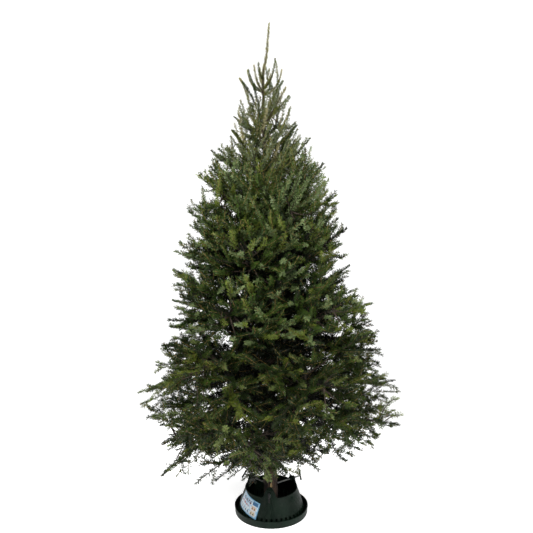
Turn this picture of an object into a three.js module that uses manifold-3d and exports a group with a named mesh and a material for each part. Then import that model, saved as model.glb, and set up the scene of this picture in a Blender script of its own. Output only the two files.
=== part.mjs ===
// A cut fir tree, 2.3 m tall, clamped upright in a round plastic water stand.
// Millimetres, +Z up. The origin is the centre of the stand's flat underside and the front is -Y.
// Azimuths are in radians, from +X towards +Y.

import * as THREE from 'three';
import { mergeVertices } from 'three/addons/utils/BufferGeometryUtils.js';
import Module from 'manifold-3d';

const wasm = await Module();
wasm.setup();

// ---------- driving dimensions ----------

const CLEAR = 0.3; // gap between two pieces that touch on the real tree
const DEGREE = Math.PI / 180;

const TRAY = { radius: 177.5, wall: 3.5, floor: 3.5, height: 33, rim: 3, lip: 1.5, sides: 36 };
const TOWERS = 3;
const TOWER_PITCH = 2 * Math.PI / TOWERS;
const FIRST_TOWER = 26 * DEGREE;
const SKIRT = {
  // Outer radius and height, from the foot to the top of a tower.
  profile: [[163, 3.8], [156, 30], [138, 85], [127, 112], [121.5, 132], [116.5, 150], [101, 161]],
  wall: 3.5,
  sides: 36,
  // Half the width of the opening between two towers, and the height it has that width at.
  opening: [[87, 120], [89, 128], [88.5, 148], [81.5, 161], [81.5, 175]],
  openingInner: 50,
  openingOuter: 175,
  strap: { footWidth: 40, topWidth: 24, proud: 4, low: 22, high: 138 },
  boss: { radius: 12, inner: 102, outer: 128, bored: 9 },
  notch: { count: 21, width: 11, height: 36, depth: 30 },
};
const SCREW = {
  height: 126, tilt: 5 * DEGREE, // at the trunk's axis, and up towards the handle
  radius: 4.5, handleAt: 162, handleLength: 44, handleRadius: 4.5, sides: 10,
};
const HANDLE_ROLLS = [11, -52, 0].map((angle) => angle * DEGREE); // from upright, for each screw
const LABEL = {
  azimuth: 219.5 * DEGREE, height: 72, width: 128, depth: 70, turn: -11 * DEGREE, off: 0.7, thick: 0.8,
  columns: 10, rows: 6,
};

const TRUNK = {
  foot: TRAY.floor + CLEAR, top: 1965, footRadius: 35, topRadius: 6.5, lean: -0.0188, sides: 24,
};
const TRUNK_STATIONS = 6;

// The crown is cut into layers. A layer lies between two heights on the trunk, and its masses share it
// out as equal slices. The lower layers have a bough from the trunk to each mass.
const LAYER_EDGES = [385, 590, 800, 1020, 1240, 1455, 1670, 1930];
const MASSES_IN_LAYER = [5, 5, 5, 4, 4, 4, 3];
const LAYER_TURN = [46, 10, 28, 75, 30, 72, 20].map((angle) => angle * DEGREE);
const LAYERS_WITH_BOUGHS = 3;
const LAYERS_OF_OLD_NEEDLES = 5; // the layers above are paler
const BOUGH_SHARE = 0.27; // how much of the way to the tips a bough runs before its mass begins
const BOUGH_RADIUS = { root: 11, tip: 7 };
const SPACE_GAP = 3; // each mass stays this far inside its own space

// The crown's outline: how far out it reaches at each height.
const CROWN = {
  widest: 620, // half its width, at widestHeight
  widestHeight: 560,
  topHeight: 2300,
  tipRadius: 15,
  bulge: 0.45,
  underside: 0.007,
  leastReach: 520,
};
// Shallow waists of the outline. A side of 1 puts a waist on the right, -1 on the left, 0 all round.
const WAISTS = [
  { height: 860, spread: 170, depth: 70, side: -1 },
  { height: 1180, spread: 130, depth: 75, side: 1 },
  { height: 1560, spread: 100, depth: -30, side: 0 },
  { height: 1840, spread: 100, depth: 40, side: 0 },
];

// A bough surface is where the boughs that leave the trunk at one height lie. It is level and sags low
// down, rises more steeply and curls up towards the top, and rolls gently round the tree.
const RISE = {
  lowest: 360, highest: 1960, // heights on the trunk between which the rise grows
  flat: -0.03, steep: 0.95, steepening: 1.3,
  sag: -0.22, curl: 1.6, curling: 1.3, // for each metre out
  side: 0.1, // how much more the boughs rise on the right
  front: 0.12, // how much more the low boughs rise at the front
  wave: 50, waveTurn: 20 * DEGREE, waveStart: 6,
};
const DROOP = { azimuth: 190 * DEGREE, spread: 13 * DEGREE, depth: 190, at: 510, fade: 120 };

// A mass has a stem and pairs of limbs. The tips of the pairs share out its space.
const LIMB_PAIRS = [
  { aside: 0.93, above: -0.62 }, // shares of half its angle and of half its height
  { aside: 0.75, above: 0.85 },
];
const LIMB = {
  turnPower: 2, // how early a limb makes its turn away from its parent
  sideMargin: 0.06, // radians kept free at the edge of the slice
  reach: 0.98, reachSpread: 0.07, angleSpread: 0.05,
  firstRoot: 14, rootSpacing: 7, // least distances of the limbs' roots along the stem
};
const STEM = { reachSpread: 0.05, angleSpread: 0.06, radiusOnTrunk: 4.5 };
const TWIG_RADIUS = 3;
const SPRAY = {
  widest: 72, widthShare: 0.2, extraWidth: 12, flatness: 0.75, fits: [1, 0.85, 0.7, 0.55, 0.4],
};

// Side sprays: place along the parent, and side.
const STEM_SPRAYS = [[0.1, 1], [0.26, -1], [0.46, 1]];
const LIMB_SPRAYS = [[0.24, 1]];
const LIMBS_WITH_SPRAYS = [4, 4, 4, 4, 4, 2, 2]; // for a mass of each layer
const SIDE_SPRAY = {
  longest: 0.62, shortening: 0.45, // length as a share of its parent's, less towards the tip
  widest: 60, widthShare: 0.3, stalk: 2.1,
  forward: 0.72, sideways: 0.69, bend: 0.12, roll: 0.5,
};

const LEADER = {
  bends: [[-39, 2072], [-24, 2150], [-11, 2300]], // across and up, above the trunk's top
  stations: [[0, 5.5], [0.2, 16], [0.36, 11], [0.5, 18], [0.64, 10], [0.78, 15], [1, 0]],
  shoots: 5, firstShoot: 20 * DEGREE, shootLength: 130, shootSpread: 25, shootWidth: 24,
  lowestRoot: 0.03, rootSpacing: 0.02, outward: 0.62, upward: 0.25, upturn: 0.6,
};

const LOOKS = {
  bark: { color: 0x5b4a3c, roughness: 0.95 },
  needles: { color: 0x3c4a30, roughness: 0.7 },
  topNeedles: { color: 0x66705a, roughness: 0.7 },
  plastic: { color: 0x25392a, roughness: 0.45 },
  steel: { color: 0x8d9090, roughness: 0.4, metalness: 0.9 },
  paper: { color: 0xb9c2c8, roughness: 0.6 },
};

// ---------- shared helpers ----------

const lerp = THREE.MathUtils.lerp;
const TREE = new THREE.Group();

function addPiece(name, geometry, look) {
  const mesh = new THREE.Mesh(geometry, new THREE.MeshStandardMaterial(LOOKS[look]));
  mesh.name = name;
  TREE.add(mesh);
}

/** An even value from 0 to 1 that whole-number keys always give alike. */
function chance(...keys) {
  let hash = 0x9e3779b9;
  for (const key of keys) {
    hash = Math.imul(hash ^ (key + 1), 0x85ebca6b) >>> 0;
    hash = (hash ^ (hash >>> 13)) >>> 0;
    hash = Math.imul(hash, 0xc2b2ae35) >>> 0;
    hash = (hash ^ (hash >>> 16)) >>> 0;
  }
  return hash / 4294967296;
}

const spread = (amount, ...keys) => amount * (2 * chance(...keys) - 1);

function toSolid(geometry) {
  const bare = geometry.clone();
  bare.deleteAttribute('normal');
  bare.deleteAttribute('uv');
  const merged = mergeVertices(bare, 1e-4);
  return new wasm.Manifold(new wasm.Mesh({
    numProp: 3,
    vertProperties: new Float32Array(merged.attributes.position.array),
    triVerts: new Uint32Array(merged.index.array),
  }));
}

function toGeometry(solid) {
  const mesh = solid.getMesh();
  const geometry = new THREE.BufferGeometry();
  geometry.setAttribute('position', new THREE.BufferAttribute(new Float32Array(mesh.vertProperties), 3));
  geometry.setIndex(new THREE.BufferAttribute(new Uint32Array(mesh.triVerts), 1));
  geometry.computeVertexNormals();
  return geometry;
}

/** Joins pieces into one body. A hollow that the join seals is filled, and a loose scrap is dropped. */
function join(solids) {
  const whole = solids.reduce((sum, next) => sum.add(next));
  const bodies = whole.decompose().sort((a, b) => b.volume() - a.volume());
  return toGeometry(bodies[0]);
}

function cut(geometry, cutters) {
  return toGeometry(cutters.map(toSolid).reduce((left, next) => left.subtract(next), toSolid(geometry)));
}

/** A closed skin over rings of equally many points, each going anticlockwise as seen from the far end. */
function loft(rings) {
  const size = rings[0].length;
  const corners = [];
  for (let k = 1; k < size - 1; k += 1) corners.push(0, k + 1, k);
  for (let j = 0; j < rings.length - 1; j += 1) {
    const near = j * size;
    const far = near + size;
    for (let k = 0; k < size; k += 1) {
      const next = (k + 1) % size;
      if (rings[j + 1].length === 1) {
        corners.push(near + k, near + next, far);
      } else {
        corners.push(near + k, near + next, far + next, near + k, far + next, far + k);
      }
    }
  }
  const last = (rings.length - 1) * size;
  const points = rings.flat();
  if (rings.at(-1).length > 1) {
    for (let k = 1; k < size - 1; k += 1) corners.push(last, last + k, last + k + 1);
  }
  const geometry = new THREE.BufferGeometry().setFromPoints(points);
  geometry.setIndex(corners);
  geometry.computeVertexNormals();
  return geometry;
}

/** The directions along, across and out of a limb at a place on it. */
function frameAt(limb, s) {
  const step = 0.02;
  const along = limb(Math.min(1, s + step)).sub(limb(Math.max(0, s - step))).normalize();
  const upright = Math.abs(along.z) > 0.93 ? new THREE.Vector3(0, -1, 0) : new THREE.Vector3(0, 0, 1);
  const across = new THREE.Vector3().crossVectors(along, upright).normalize();
  return { along, across, out: new THREE.Vector3().crossVectors(across, along) };
}

// ---------- stand ----------

function skirtRadius(height) {
  const above = SKIRT.profile.findIndex((point) => point[1] > height);
  const [low, high] = [SKIRT.profile[above - 1], SKIRT.profile[above]];
  return lerp(low[0], high[0], (height - low[1]) / (high[1] - low[1]));
}

/** A lathe about Z from a closed outline of radius and height. */
function turned(outline, sides) {
  const points = outline.map(([radius, height]) => new THREE.Vector2(radius, height));
  return new THREE.LatheGeometry(points, sides).rotateX(Math.PI / 2);
}

/** A cylinder that lies along +X. */
function rod(radius, from, to, sides) {
  return new THREE.CylinderGeometry(radius, radius, to - from, sides)
    .rotateZ(-Math.PI / 2)
    .translate((from + to) / 2, 0, 0);
}

/** Takes a piece that lies along +X to where a clamp screw is. */
function placeScrew(geometry, turn) {
  return geometry.rotateY(-SCREW.tilt).translate(0, 0, SCREW.height).rotateZ(turn);
}

function buildTray() {
  const { radius, wall, floor, height, rim, lip, sides } = TRAY;
  const outer = radius - lip;
  const inner = outer - wall;
  return turned([
    [0, 0], [outer, 0], [outer, height - rim], [radius, height - rim],
    [radius, height], [inner, height], [inner, floor], [0, floor],
  ], sides);
}

/** The bar that stiffens a tower, wider at its foot, along +X. */
function buildStrap() {
  const { wall, strap } = SKIRT;
  const heights = [strap.low, (strap.low + strap.high) / 2, strap.high];
  const outside = heights.map((height) => [skirtRadius(height) + strap.proud, height]);
  const inside = heights.map((height) => [skirtRadius(height) - wall / 2, height]).reverse();
  const outline = new THREE.Shape([...outside, ...inside].map(([x, y]) => new THREE.Vector2(x, y)));
  const bar = new THREE.ExtrudeGeometry(outline, { depth: 1, bevelEnabled: false })
    .rotateX(Math.PI / 2)
    .translate(0, 0.5, 0);
  const place = bar.attributes.position;
  for (let index = 0; index < place.count; index += 1) {
    const share = (place.getZ(index) - strap.low) / (strap.high - strap.low);
    place.setY(index, place.getY(index) * lerp(strap.footWidth, strap.topWidth, share));
  }
  return bar;
}

/** The solid that cuts the opening between two towers, along +X. */
function buildOpening() {
  const { opening, openingInner, openingOuter } = SKIRT;
  const right = opening.map(([halfWidth, height]) => new THREE.Vector2(halfWidth, height));
  const left = opening.map(([halfWidth, height]) => new THREE.Vector2(-halfWidth, height)).reverse();
  return new THREE.ExtrudeGeometry(new THREE.Shape([...right, ...left]), {
    depth: openingOuter - openingInner,
    bevelEnabled: false,
  }).rotateX(Math.PI / 2).rotateZ(Math.PI / 2).translate(openingInner, 0, 0);
}

function buildSkirt() {
  const { profile, wall, sides, boss, notch } = SKIRT;
  const inner = profile.map(([radius, height]) => [radius - wall, height]).reverse();
  const shell = [turned([...profile, ...inner, profile[0]], sides)];
  const openings = [];
  const bosses = [];
  const bores = [];
  for (let tower = 0; tower < TOWERS; tower += 1) {
    const turn = FIRST_TOWER + tower * TOWER_PITCH;
    shell.push(buildStrap().rotateZ(turn));
    openings.push(buildOpening().rotateZ(turn + TOWER_PITCH / 2));
    bosses.push(placeScrew(rod(boss.radius, boss.inner, boss.outer, 10), turn));
    const [from, to] = [boss.inner - boss.bored, boss.outer + boss.bored];
    bores.push(placeScrew(rod(SCREW.radius + CLEAR, from, to, SCREW.sides), turn));
  }
  const notches = [];
  for (let index = 0; index < notch.count; index += 1) {
    notches.push(new THREE.BoxGeometry(notch.depth, notch.width, 2 * notch.height)
      .translate(profile[0][0] - notch.depth / 4, 0, profile[0][1])
      .rotateZ(FIRST_TOWER + (index + 0.5) * 2 * Math.PI / notch.count));
  }
  const opened = cut(join(shell.map(toSolid)), [...openings, ...notches]);
  return cut(join([opened, ...bosses].map(toSolid)), bores);
}

function buildScrew(turn, roll) {
  const { height, tilt, radius, handleAt, handleLength, handleRadius, sides } = SCREW;
  const tip = trunkAxis(height) * Math.cos(turn) + trunkRadius(height) + radius * Math.sin(tilt) + CLEAR;
  const handle = new THREE.CylinderGeometry(handleRadius, handleRadius, handleLength, sides)
    .rotateX(Math.PI / 2 - roll)
    .translate(handleAt, 0, 0);
  return placeScrew(join([rod(radius, tip, handleAt, sides), handle].map(toSolid)), turn);
}

/** A thin rectangle laid on the skirt. */
function buildLabel() {
  const { azimuth, height, width, depth, turn, off, thick, columns, rows } = LABEL;
  const geometry = new THREE.BoxGeometry(width, depth, thick, columns, rows, 1).rotateZ(turn);
  const place = geometry.attributes.position;
  for (let index = 0; index < place.count; index += 1) {
    const z = height + place.getY(index);
    const radius = skirtRadius(z) + off + thick / 2 + place.getZ(index);
    const angle = azimuth + place.getX(index) / skirtRadius(height);
    place.setXYZ(index, radius * Math.cos(angle), radius * Math.sin(angle), z);
  }
  return geometry;
}

// ---------- trunk and crown ----------

const trunkAxis = (z) => TRUNK.lean * z;

function trunkRadius(z) {
  return lerp(TRUNK.footRadius, TRUNK.topRadius, (z - TRUNK.foot) / (TRUNK.top - TRUNK.foot));
}

function buildTrunk() {
  const rings = [];
  for (let station = 0; station < TRUNK_STATIONS; station += 1) {
    const z = lerp(TRUNK.foot, TRUNK.top, station / (TRUNK_STATIONS - 1));
    const radius = trunkRadius(z);
    rings.push(Array.from({ length: TRUNK.sides }, (_, k) => {
      const angle = k * 2 * Math.PI / TRUNK.sides;
      return new THREE.Vector3(trunkAxis(z) + radius * Math.cos(angle), radius * Math.sin(angle), z);
    }));
  }
  return loft(rings);
}

/** How far the crown reaches from the trunk at a height. */
function crownReach(z, azimuth) {
  const { widest, widestHeight, topHeight, tipRadius, bulge, underside, leastReach } = CROWN;
  if (z < widestHeight) return Math.max(leastReach, widest - underside * (widestHeight - z) ** 2);
  const share = Math.min(1, (z - widestHeight) / (topHeight - widestHeight));
  let reach = tipRadius + (widest - tipRadius) * (1 - share) * (1 + bulge * share * (1 - share));
  for (const { height, spread: fade, depth, side } of WAISTS) {
    const waist = depth * Math.exp(-(((z - height) / fade) ** 2));
    reach -= waist * (1 + side * Math.cos(azimuth)) / (1 + Math.abs(side));
  }
  return reach;
}

/** The angle from one azimuth to another, from minus to plus half a turn. */
function swingFrom(from, to) {
  return Math.atan2(Math.sin(to - from), Math.cos(to - from));
}

/** The height, this far out, of the bough surface that leaves the trunk at a base height. */
function boughHeight(base, radius, azimuth) {
  const share = Math.max(0, (base - RISE.lowest) / (RISE.highest - RISE.lowest));
  const slope = RISE.flat + RISE.steep * share ** RISE.steepening + RISE.side * Math.cos(azimuth)
    - RISE.front * Math.sin(azimuth) * Math.max(0, 1 - share);
  const curl = (RISE.sag + RISE.curl * share ** RISE.curling) / 1000;
  const wave = RISE.wave * Math.cos(2 * (azimuth - RISE.waveTurn)) * Math.min(1, share * RISE.waveStart);
  const swing = swingFrom(DROOP.azimuth, azimuth) / DROOP.spread;
  const droop = DROOP.depth * Math.exp(-swing * swing - (base - RISE.lowest) / DROOP.fade)
    * (radius / DROOP.at) ** 3;
  return base + wave + slope * radius + curl * radius * radius - droop;
}

/** A point of the crown, from its distance out, its azimuth and the base height of its bough surface. */
function crownPoint({ radius, azimuth, base }) {
  const z = boughHeight(base, radius, azimuth);
  return new THREE.Vector3(trunkAxis(z) + radius * Math.cos(azimuth), radius * Math.sin(azimuth), z);
}

/** How far out a bough surface meets the crown's outline. */
function surfaceReach(base, azimuth) {
  let near = 0;
  let far = 2 * CROWN.widest;
  for (let step = 0; step < 30; step += 1) {
    const middle = (near + far) / 2;
    if (middle < crownReach(boughHeight(base, middle, azimuth), azimuth)) near = middle;
    else far = middle;
  }
  return near;
}

/** A place on a limb, in crown coordinates: it leaves its parent at an angle and then runs outwards. */
function placeOn({ from, to }, s) {
  const turn = 1 - (1 - s) ** LIMB.turnPower;
  return {
    radius: lerp(from.radius, to.radius, s),
    azimuth: lerp(from.azimuth, to.azimuth, turn),
    base: lerp(from.base, to.base, turn),
  };
}

const growLimb = (route) => (s) => crownPoint(placeOn(route, s));

/** Slides each point of a ring along its limb onto a plane, by its normal and distance from the origin. */
function slideOnto(ring, along, normal, distance) {
  return ring.map((point) => {
    const slide = (distance - point.dot(normal)) / along.dot(normal);
    return point.clone().addScaledVector(along, slide);
  });
}

/** Seats a limb's first ring on the upright plane that stands just clear of the trunk. */
function seatOnTrunk(ring, along) {
  const outward = new THREE.Vector3(along.x, along.y, 0).normalize();
  const heights = ring.map((point) => point.z);
  const reaches = [Math.min(...heights), Math.max(...heights)]
    .map((z) => trunkAxis(z) * outward.x + trunkRadius(z));
  return slideOnto(ring, along, outward, Math.max(...reaches) + CLEAR);
}

/** Seats a stem's first ring just clear of the flat end of its bough. */
function seatOnBough(bough) {
  const { along } = frameAt(bough, 1);
  const distance = bough(1).dot(along) + CLEAR;
  return (ring, stemAlong) => slideOnto(ring, stemAlong, along, distance);
}

/** A twig of three sides that widens into a toothed blade: stations give place and half width. */
function spray(limb, stations, seat) {
  const rings = stations.map(([s, width]) => {
    const centre = limb(s);
    if (width === 0) return [centre];
    const { across, out } = frameAt(limb, s);
    const thickness = width > 3 * TWIG_RADIUS ? SPRAY.flatness * width : width;
    return [[0, 1], [0.87, -0.5], [-0.87, -0.5]].map(([sideways, upwards]) => centre.clone()
      .addScaledVector(across, sideways * width)
      .addScaledVector(out, upwards * thickness));
  });
  if (seat) rings[0] = seat(rings[0], frameAt(limb, 0).along);
  return rings;
}

/** Stations of a spray: a stalk, two pairs of teeth with a notch between, and the tip. */
const toothed = (stalk, widest) => [
  [0, stalk], [0.4, widest], [0.57, 0.42 * widest], [0.72, 0.8 * widest], [1, 0],
];

/** Stations of a mass's stem: a stalk as far as its last limb, then one pair of teeth and the tip. */
const stemmed = (stalk, widest) => [[0, stalk], [0.58, 0.6 * stalk], [0.78, widest], [1, 0]];

function insideSpace(point, space) {
  const x = point.x - trunkAxis(point.z);
  const radius = Math.hypot(x, point.y);
  const azimuth = Math.atan2(point.y, x);
  const swing = Math.abs(swingFrom(space.azimuth, azimuth));
  return radius * Math.sin(space.halfAngle - swing) > SPACE_GAP
    && radius > trunkRadius(point.z) + SPACE_GAP
    && point.z > boughHeight(space.low, radius, azimuth) + SPACE_GAP
    && point.z < boughHeight(space.high, radius, azimuth) - SPACE_GAP;
}

/** The widest spray along a limb, up to the wanted width, that stays in its space. */
function fitSpray(limb, shape, stalk, wanted, space, seat) {
  for (const share of SPRAY.fits) {
    const rings = spray(limb, shape(stalk, share * wanted), seat);
    if (rings.slice(1).flat().every((point) => insideSpace(point, space))) return toSolid(loft(rings));
  }
  return null;
}

/** The routes of a mass's stem and limbs, in crown coordinates. */
function routesOf(space) {
  const { key, azimuth: ahead } = space;
  const middle = (space.low + space.high) / 2;
  const halfHeight = (space.high - space.low) / 2;
  const stem = {
    from: { radius: space.startRadius, azimuth: ahead, base: middle },
    to: {
      radius: surfaceReach(middle, ahead) * (1 + spread(STEM.reachSpread, key, 1)),
      azimuth: ahead + spread(STEM.angleSpread, key, 2),
      base: middle,
    },
  };
  const routes = [stem];
  for (let index = 0; index < 2 * LIMB_PAIRS.length; index += 1) {
    const pair = LIMB_PAIRS[Math.floor(index / 2)];
    const side = index % 2 ? 1 : -1;
    const turn = side * pair.aside * (space.halfAngle - LIMB.sideMargin);
    const azimuth = ahead + turn + spread(LIMB.angleSpread, key, 3, index);
    const base = middle + side * pair.above * halfHeight;
    const radius = surfaceReach(base, azimuth) * (LIMB.reach + spread(LIMB.reachSpread, key, 4, index));
    const offset = Math.hypot(radius * (azimuth - ahead), base - middle);
    const leastRoot = space.startRadius + LIMB.firstRoot + LIMB.rootSpacing * index;
    const root = Math.max(leastRoot, radius - offset);
    const share = (root - stem.from.radius) / (stem.to.radius - stem.from.radius);
    routes.push({ from: placeOn(stem, share), to: { radius, azimuth, base } });
  }
  return routes;
}

/** A straight side spray that leaves a limb at about half a right angle. */
function sideLimb(limb, s, side, length, roll) {
  const { along, across, out } = frameAt(limb, s);
  const root = limb(s);
  const direction = along.clone().multiplyScalar(SIDE_SPRAY.forward)
    .addScaledVector(across, SIDE_SPRAY.sideways * side * Math.cos(roll))
    .addScaledVector(out, SIDE_SPRAY.sideways * Math.sin(roll))
    .normalize();
  return (t) => root.clone()
    .addScaledVector(direction, length * t)
    .addScaledVector(along, SIDE_SPRAY.bend * length * t * t);
}

/** One mass of foliage: twigs that branch from one stem, with toothed sprays, joined in one body. */
function buildMass(space) {
  const pieces = [];
  routesOf(space).forEach((route, order) => {
    const limb = growLimb(route);
    const length = limb(0).distanceTo(limb(1));
    const width = Math.min(SPRAY.widest, SPRAY.widthShare * length + SPRAY.extraWidth);
    const isStem = order === 0;
    const parent = isStem
      ? fitSpray(limb, stemmed, space.stalk, width, space, space.seat)
      : fitSpray(limb, toothed, TWIG_RADIUS, width, space, null);
    if (!parent) return;
    pieces.push(parent);
    if (order > space.sprayedLimbs) return;
    for (const [index, [s, side]] of (isStem ? STEM_SPRAYS : LIMB_SPRAYS).entries()) {
      const roll = spread(SIDE_SPRAY.roll, space.key, 5, order, index);
      const reach = length * (SIDE_SPRAY.longest - SIDE_SPRAY.shortening * s);
      const twig = sideLimb(limb, s, order % 2 ? side : -side, reach, roll);
      const widest = Math.min(SIDE_SPRAY.widest, SIDE_SPRAY.widthShare * reach);
      const leaf = fitSpray(twig, toothed, SIDE_SPRAY.stalk, widest, space, null);
      const touches = (piece) => piece !== parent && !piece.intersect(leaf).isEmpty();
      if (leaf && !pieces.some(touches)) pieces.push(leaf);
    }
  });
  return join(pieces);
}

/** One tapering limb of six sides, from the trunk to the place where its mass begins. */
function buildBough(limb) {
  const rings = [0, 0.35, 0.7, 1].map((s) => {
    const { across, out } = frameAt(limb, s);
    const radius = lerp(BOUGH_RADIUS.root, BOUGH_RADIUS.tip, s);
    return Array.from({ length: 6 }, (_, k) => limb(s)
      .addScaledVector(across, -radius * Math.cos(k * Math.PI / 3))
      .addScaledVector(out, radius * Math.sin(k * Math.PI / 3)));
  });
  rings[0] = seatOnTrunk(rings[0], frameAt(limb, 0).along);
  return loft(rings);
}

function addLayer(layer) {
  const low = LAYER_EDGES[layer];
  const high = LAYER_EDGES[layer + 1];
  const base = (low + high) / 2;
  const halfAngle = Math.PI / MASSES_IN_LAYER[layer];
  for (let index = 0; index < MASSES_IN_LAYER[layer]; index += 1) {
    const azimuth = LAYER_TURN[layer] + 2 * halfAngle * index;
    const name = `${layer + 1}_${index + 1}`;
    const space = {
      key: 10 * layer + index, low, high, azimuth, halfAngle,
      sprayedLimbs: LIMBS_WITH_SPRAYS[layer],
      startRadius: trunkRadius(base),
      stalk: STEM.radiusOnTrunk,
      seat: seatOnTrunk,
    };
    if (layer < LAYERS_WITH_BOUGHS) {
      const joint = BOUGH_SHARE * surfaceReach(base, azimuth);
      const bough = growLimb({
        from: { radius: space.startRadius, azimuth, base },
        to: { radius: joint, azimuth, base },
      });
      addPiece(`bough_${name}`, buildBough(bough), 'bark');
      space.startRadius = joint;
      space.stalk = BOUGH_RADIUS.tip;
      space.seat = seatOnBough(bough);
    }
    addPiece(`foliage_${name}`, buildMass(space), layer < LAYERS_OF_OLD_NEEDLES ? 'needles' : 'topNeedles');
  }
}

/** The top mass: the leader grows on from the trunk's tip, with a ring of upturned shoots at its foot. */
function buildLeader() {
  const foot = new THREE.Vector3(trunkAxis(TRUNK.top), 0, TRUNK.top + CLEAR);
  const bends = LEADER.bends.map(([x, z]) => new THREE.Vector3(x, 0, z));
  const curve = new THREE.CatmullRomCurve3([foot, ...bends]);
  const leader = (s) => curve.getPoint(s);
  const level = (ring) => ring.map((point) => point.setZ(foot.z));
  const pieces = [toSolid(loft(spray(leader, LEADER.stations, level)))];
  for (let index = 0; index < LEADER.shoots; index += 1) {
    const azimuth = LEADER.firstShoot + index * 2 * Math.PI / LEADER.shoots;
    const root = leader(LEADER.lowestRoot + LEADER.rootSpacing * index);
    const away = new THREE.Vector3(Math.cos(azimuth), Math.sin(azimuth), 0);
    const length = LEADER.shootLength + spread(LEADER.shootSpread, 900, index);
    const shoot = (s) => root.clone()
      .addScaledVector(away, LEADER.outward * length * (1 - (1 - s) ** 1.5))
      .add(new THREE.Vector3(0, 0, length * (LEADER.upward * s + LEADER.upturn * s * s)));
    pieces.push(toSolid(loft(spray(shoot, toothed(TWIG_RADIUS, LEADER.shootWidth), null))));
  }
  return join(pieces);
}

// ---------- the tree ----------

addPiece('stand_tray', buildTray(), 'plastic');
addPiece('stand_skirt', buildSkirt(), 'plastic');
for (let tower = 0; tower < TOWERS; tower += 1) {
  const screw = buildScrew(FIRST_TOWER + tower * TOWER_PITCH, HANDLE_ROLLS[tower]);
  addPiece(`clamp_screw_${tower + 1}`, screw, 'steel');
}
addPiece('stand_label', buildLabel(), 'paper');
addPiece('trunk', buildTrunk(), 'bark');
MASSES_IN_LAYER.forEach((_, layer) => addLayer(layer));
addPiece('foliage_leader', buildLeader(), 'topNeedles');

export default TREE;
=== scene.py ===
"""The looks of a cut fir tree, 2.3 m tall, clamped upright in a round plastic water stand.

Metres, +Z up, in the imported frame: the origin is the centre of the stand's flat underside and the
front is -Y. Azimuths are in radians, from +X towards +Y.
"""

import math
from collections import namedtuple

import bpy
import numpy as np
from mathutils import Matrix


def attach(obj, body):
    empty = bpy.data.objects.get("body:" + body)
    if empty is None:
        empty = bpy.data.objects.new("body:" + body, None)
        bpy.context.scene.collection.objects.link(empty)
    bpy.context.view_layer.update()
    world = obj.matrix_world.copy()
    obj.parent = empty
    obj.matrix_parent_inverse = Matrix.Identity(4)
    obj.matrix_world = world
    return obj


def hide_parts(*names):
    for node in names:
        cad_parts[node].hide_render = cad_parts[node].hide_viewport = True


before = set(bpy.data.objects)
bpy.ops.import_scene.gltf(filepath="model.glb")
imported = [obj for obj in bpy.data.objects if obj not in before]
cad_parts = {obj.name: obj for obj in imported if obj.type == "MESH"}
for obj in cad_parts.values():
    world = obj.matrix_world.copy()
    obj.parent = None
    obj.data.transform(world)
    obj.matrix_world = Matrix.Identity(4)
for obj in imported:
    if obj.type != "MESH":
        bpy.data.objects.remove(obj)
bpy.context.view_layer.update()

DEGREE = math.pi / 180
GOLDEN_ANGLE = math.pi * (3 - math.sqrt(5))

# ---------- the rule of growth: driving dimensions, as in the part's source ----------

TRUNK = dict(foot=0.0038, top=1.965, foot_radius=0.035, top_radius=0.0065, lean=-0.0188)
LAYER_EDGES = [0.385, 0.590, 0.800, 1.020, 1.240, 1.455, 1.670, 1.930]
MASSES_IN_LAYER = [5, 5, 5, 4, 4, 4, 3]
LAYER_TURN = [angle * DEGREE for angle in (46, 10, 28, 75, 30, 72, 20)]
LAYERS_WITH_BOUGHS = 3
BOUGH_SHARE = 0.27
BOUGH_RADIUS = dict(root=0.011, tip=0.007)
CROWN = dict(
    widest=0.620, widest_height=0.560, top_height=2.300, tip_radius=0.015,
    bulge=0.45, underside=7.0, least_reach=0.520,
)
WAISTS = [  # height, spread, depth, and side: 1 on the right, -1 on the left, 0 all round
    (0.860, 0.170, 0.070, -1), (1.180, 0.130, 0.075, 1),
    (1.560, 0.100, -0.030, 0), (1.840, 0.100, 0.040, 0),
]
RISE = dict(  # the slope and curl of the bough surfaces, from the lowest base height to the highest
    lowest=0.360, highest=1.960, flat=-0.03, steep=0.95, steepening=1.3,
    sag=-0.22, curl=1.6, curling=1.3, side=0.10, front=0.12,
    wave=0.050, wave_turn=20 * DEGREE, wave_start=6,
)
DROOP = dict(azimuth=190 * DEGREE, spread=13 * DEGREE, depth=0.190, at=0.510, fade=0.120)
LIMB_PAIRS = [(0.93, -0.62), (0.75, 0.85)]
LIMB = dict(
    turn_power=2, side_margin=0.06, reach=0.98, reach_spread=0.07, angle_spread=0.05,
    first_root=0.014, root_spacing=0.007, root_places=6, last_root=0.9,
)
STEM = dict(reach_spread=0.05, angle_spread=0.06, radius_on_trunk=0.0045)
STEM_SPRAYS = [(0.1, 1), (0.26, -1), (0.46, 1)]
LIMB_SPRAYS = [(0.24, 1)]
LIMBS_WITH_SPRAYS = [4, 4, 4, 4, 4, 2, 2]
SIDE_SPRAY = dict(longest=0.62, shortening=0.45, forward=0.72, sideways=0.69, bend=0.12, roll=0.5)
LEADER = dict(
    seed=900, bends=[(-0.039, 2.072), (-0.024, 2.150), (-0.011, 2.300)],
    shoots=5, first_shoot=20 * DEGREE, shoot_length=0.130, shoot_spread=0.025,
    lowest_root=0.03, root_spacing=0.02, outward=0.62, outward_power=1.5, upward=0.25, upturn=0.6,
    wood=0.98,  # how far up the leader its wood reaches, with needles above it
    weak_shoots=5, weak_turn=0.6, weak_length=0.085, weak_spread=0.025, weak_spacing=0.055,
    bare=0.02, shoot_bare=0.05,
)
REACH_HALVINGS = 30

# ---------- the finer growth that only this scene has ----------

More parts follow.
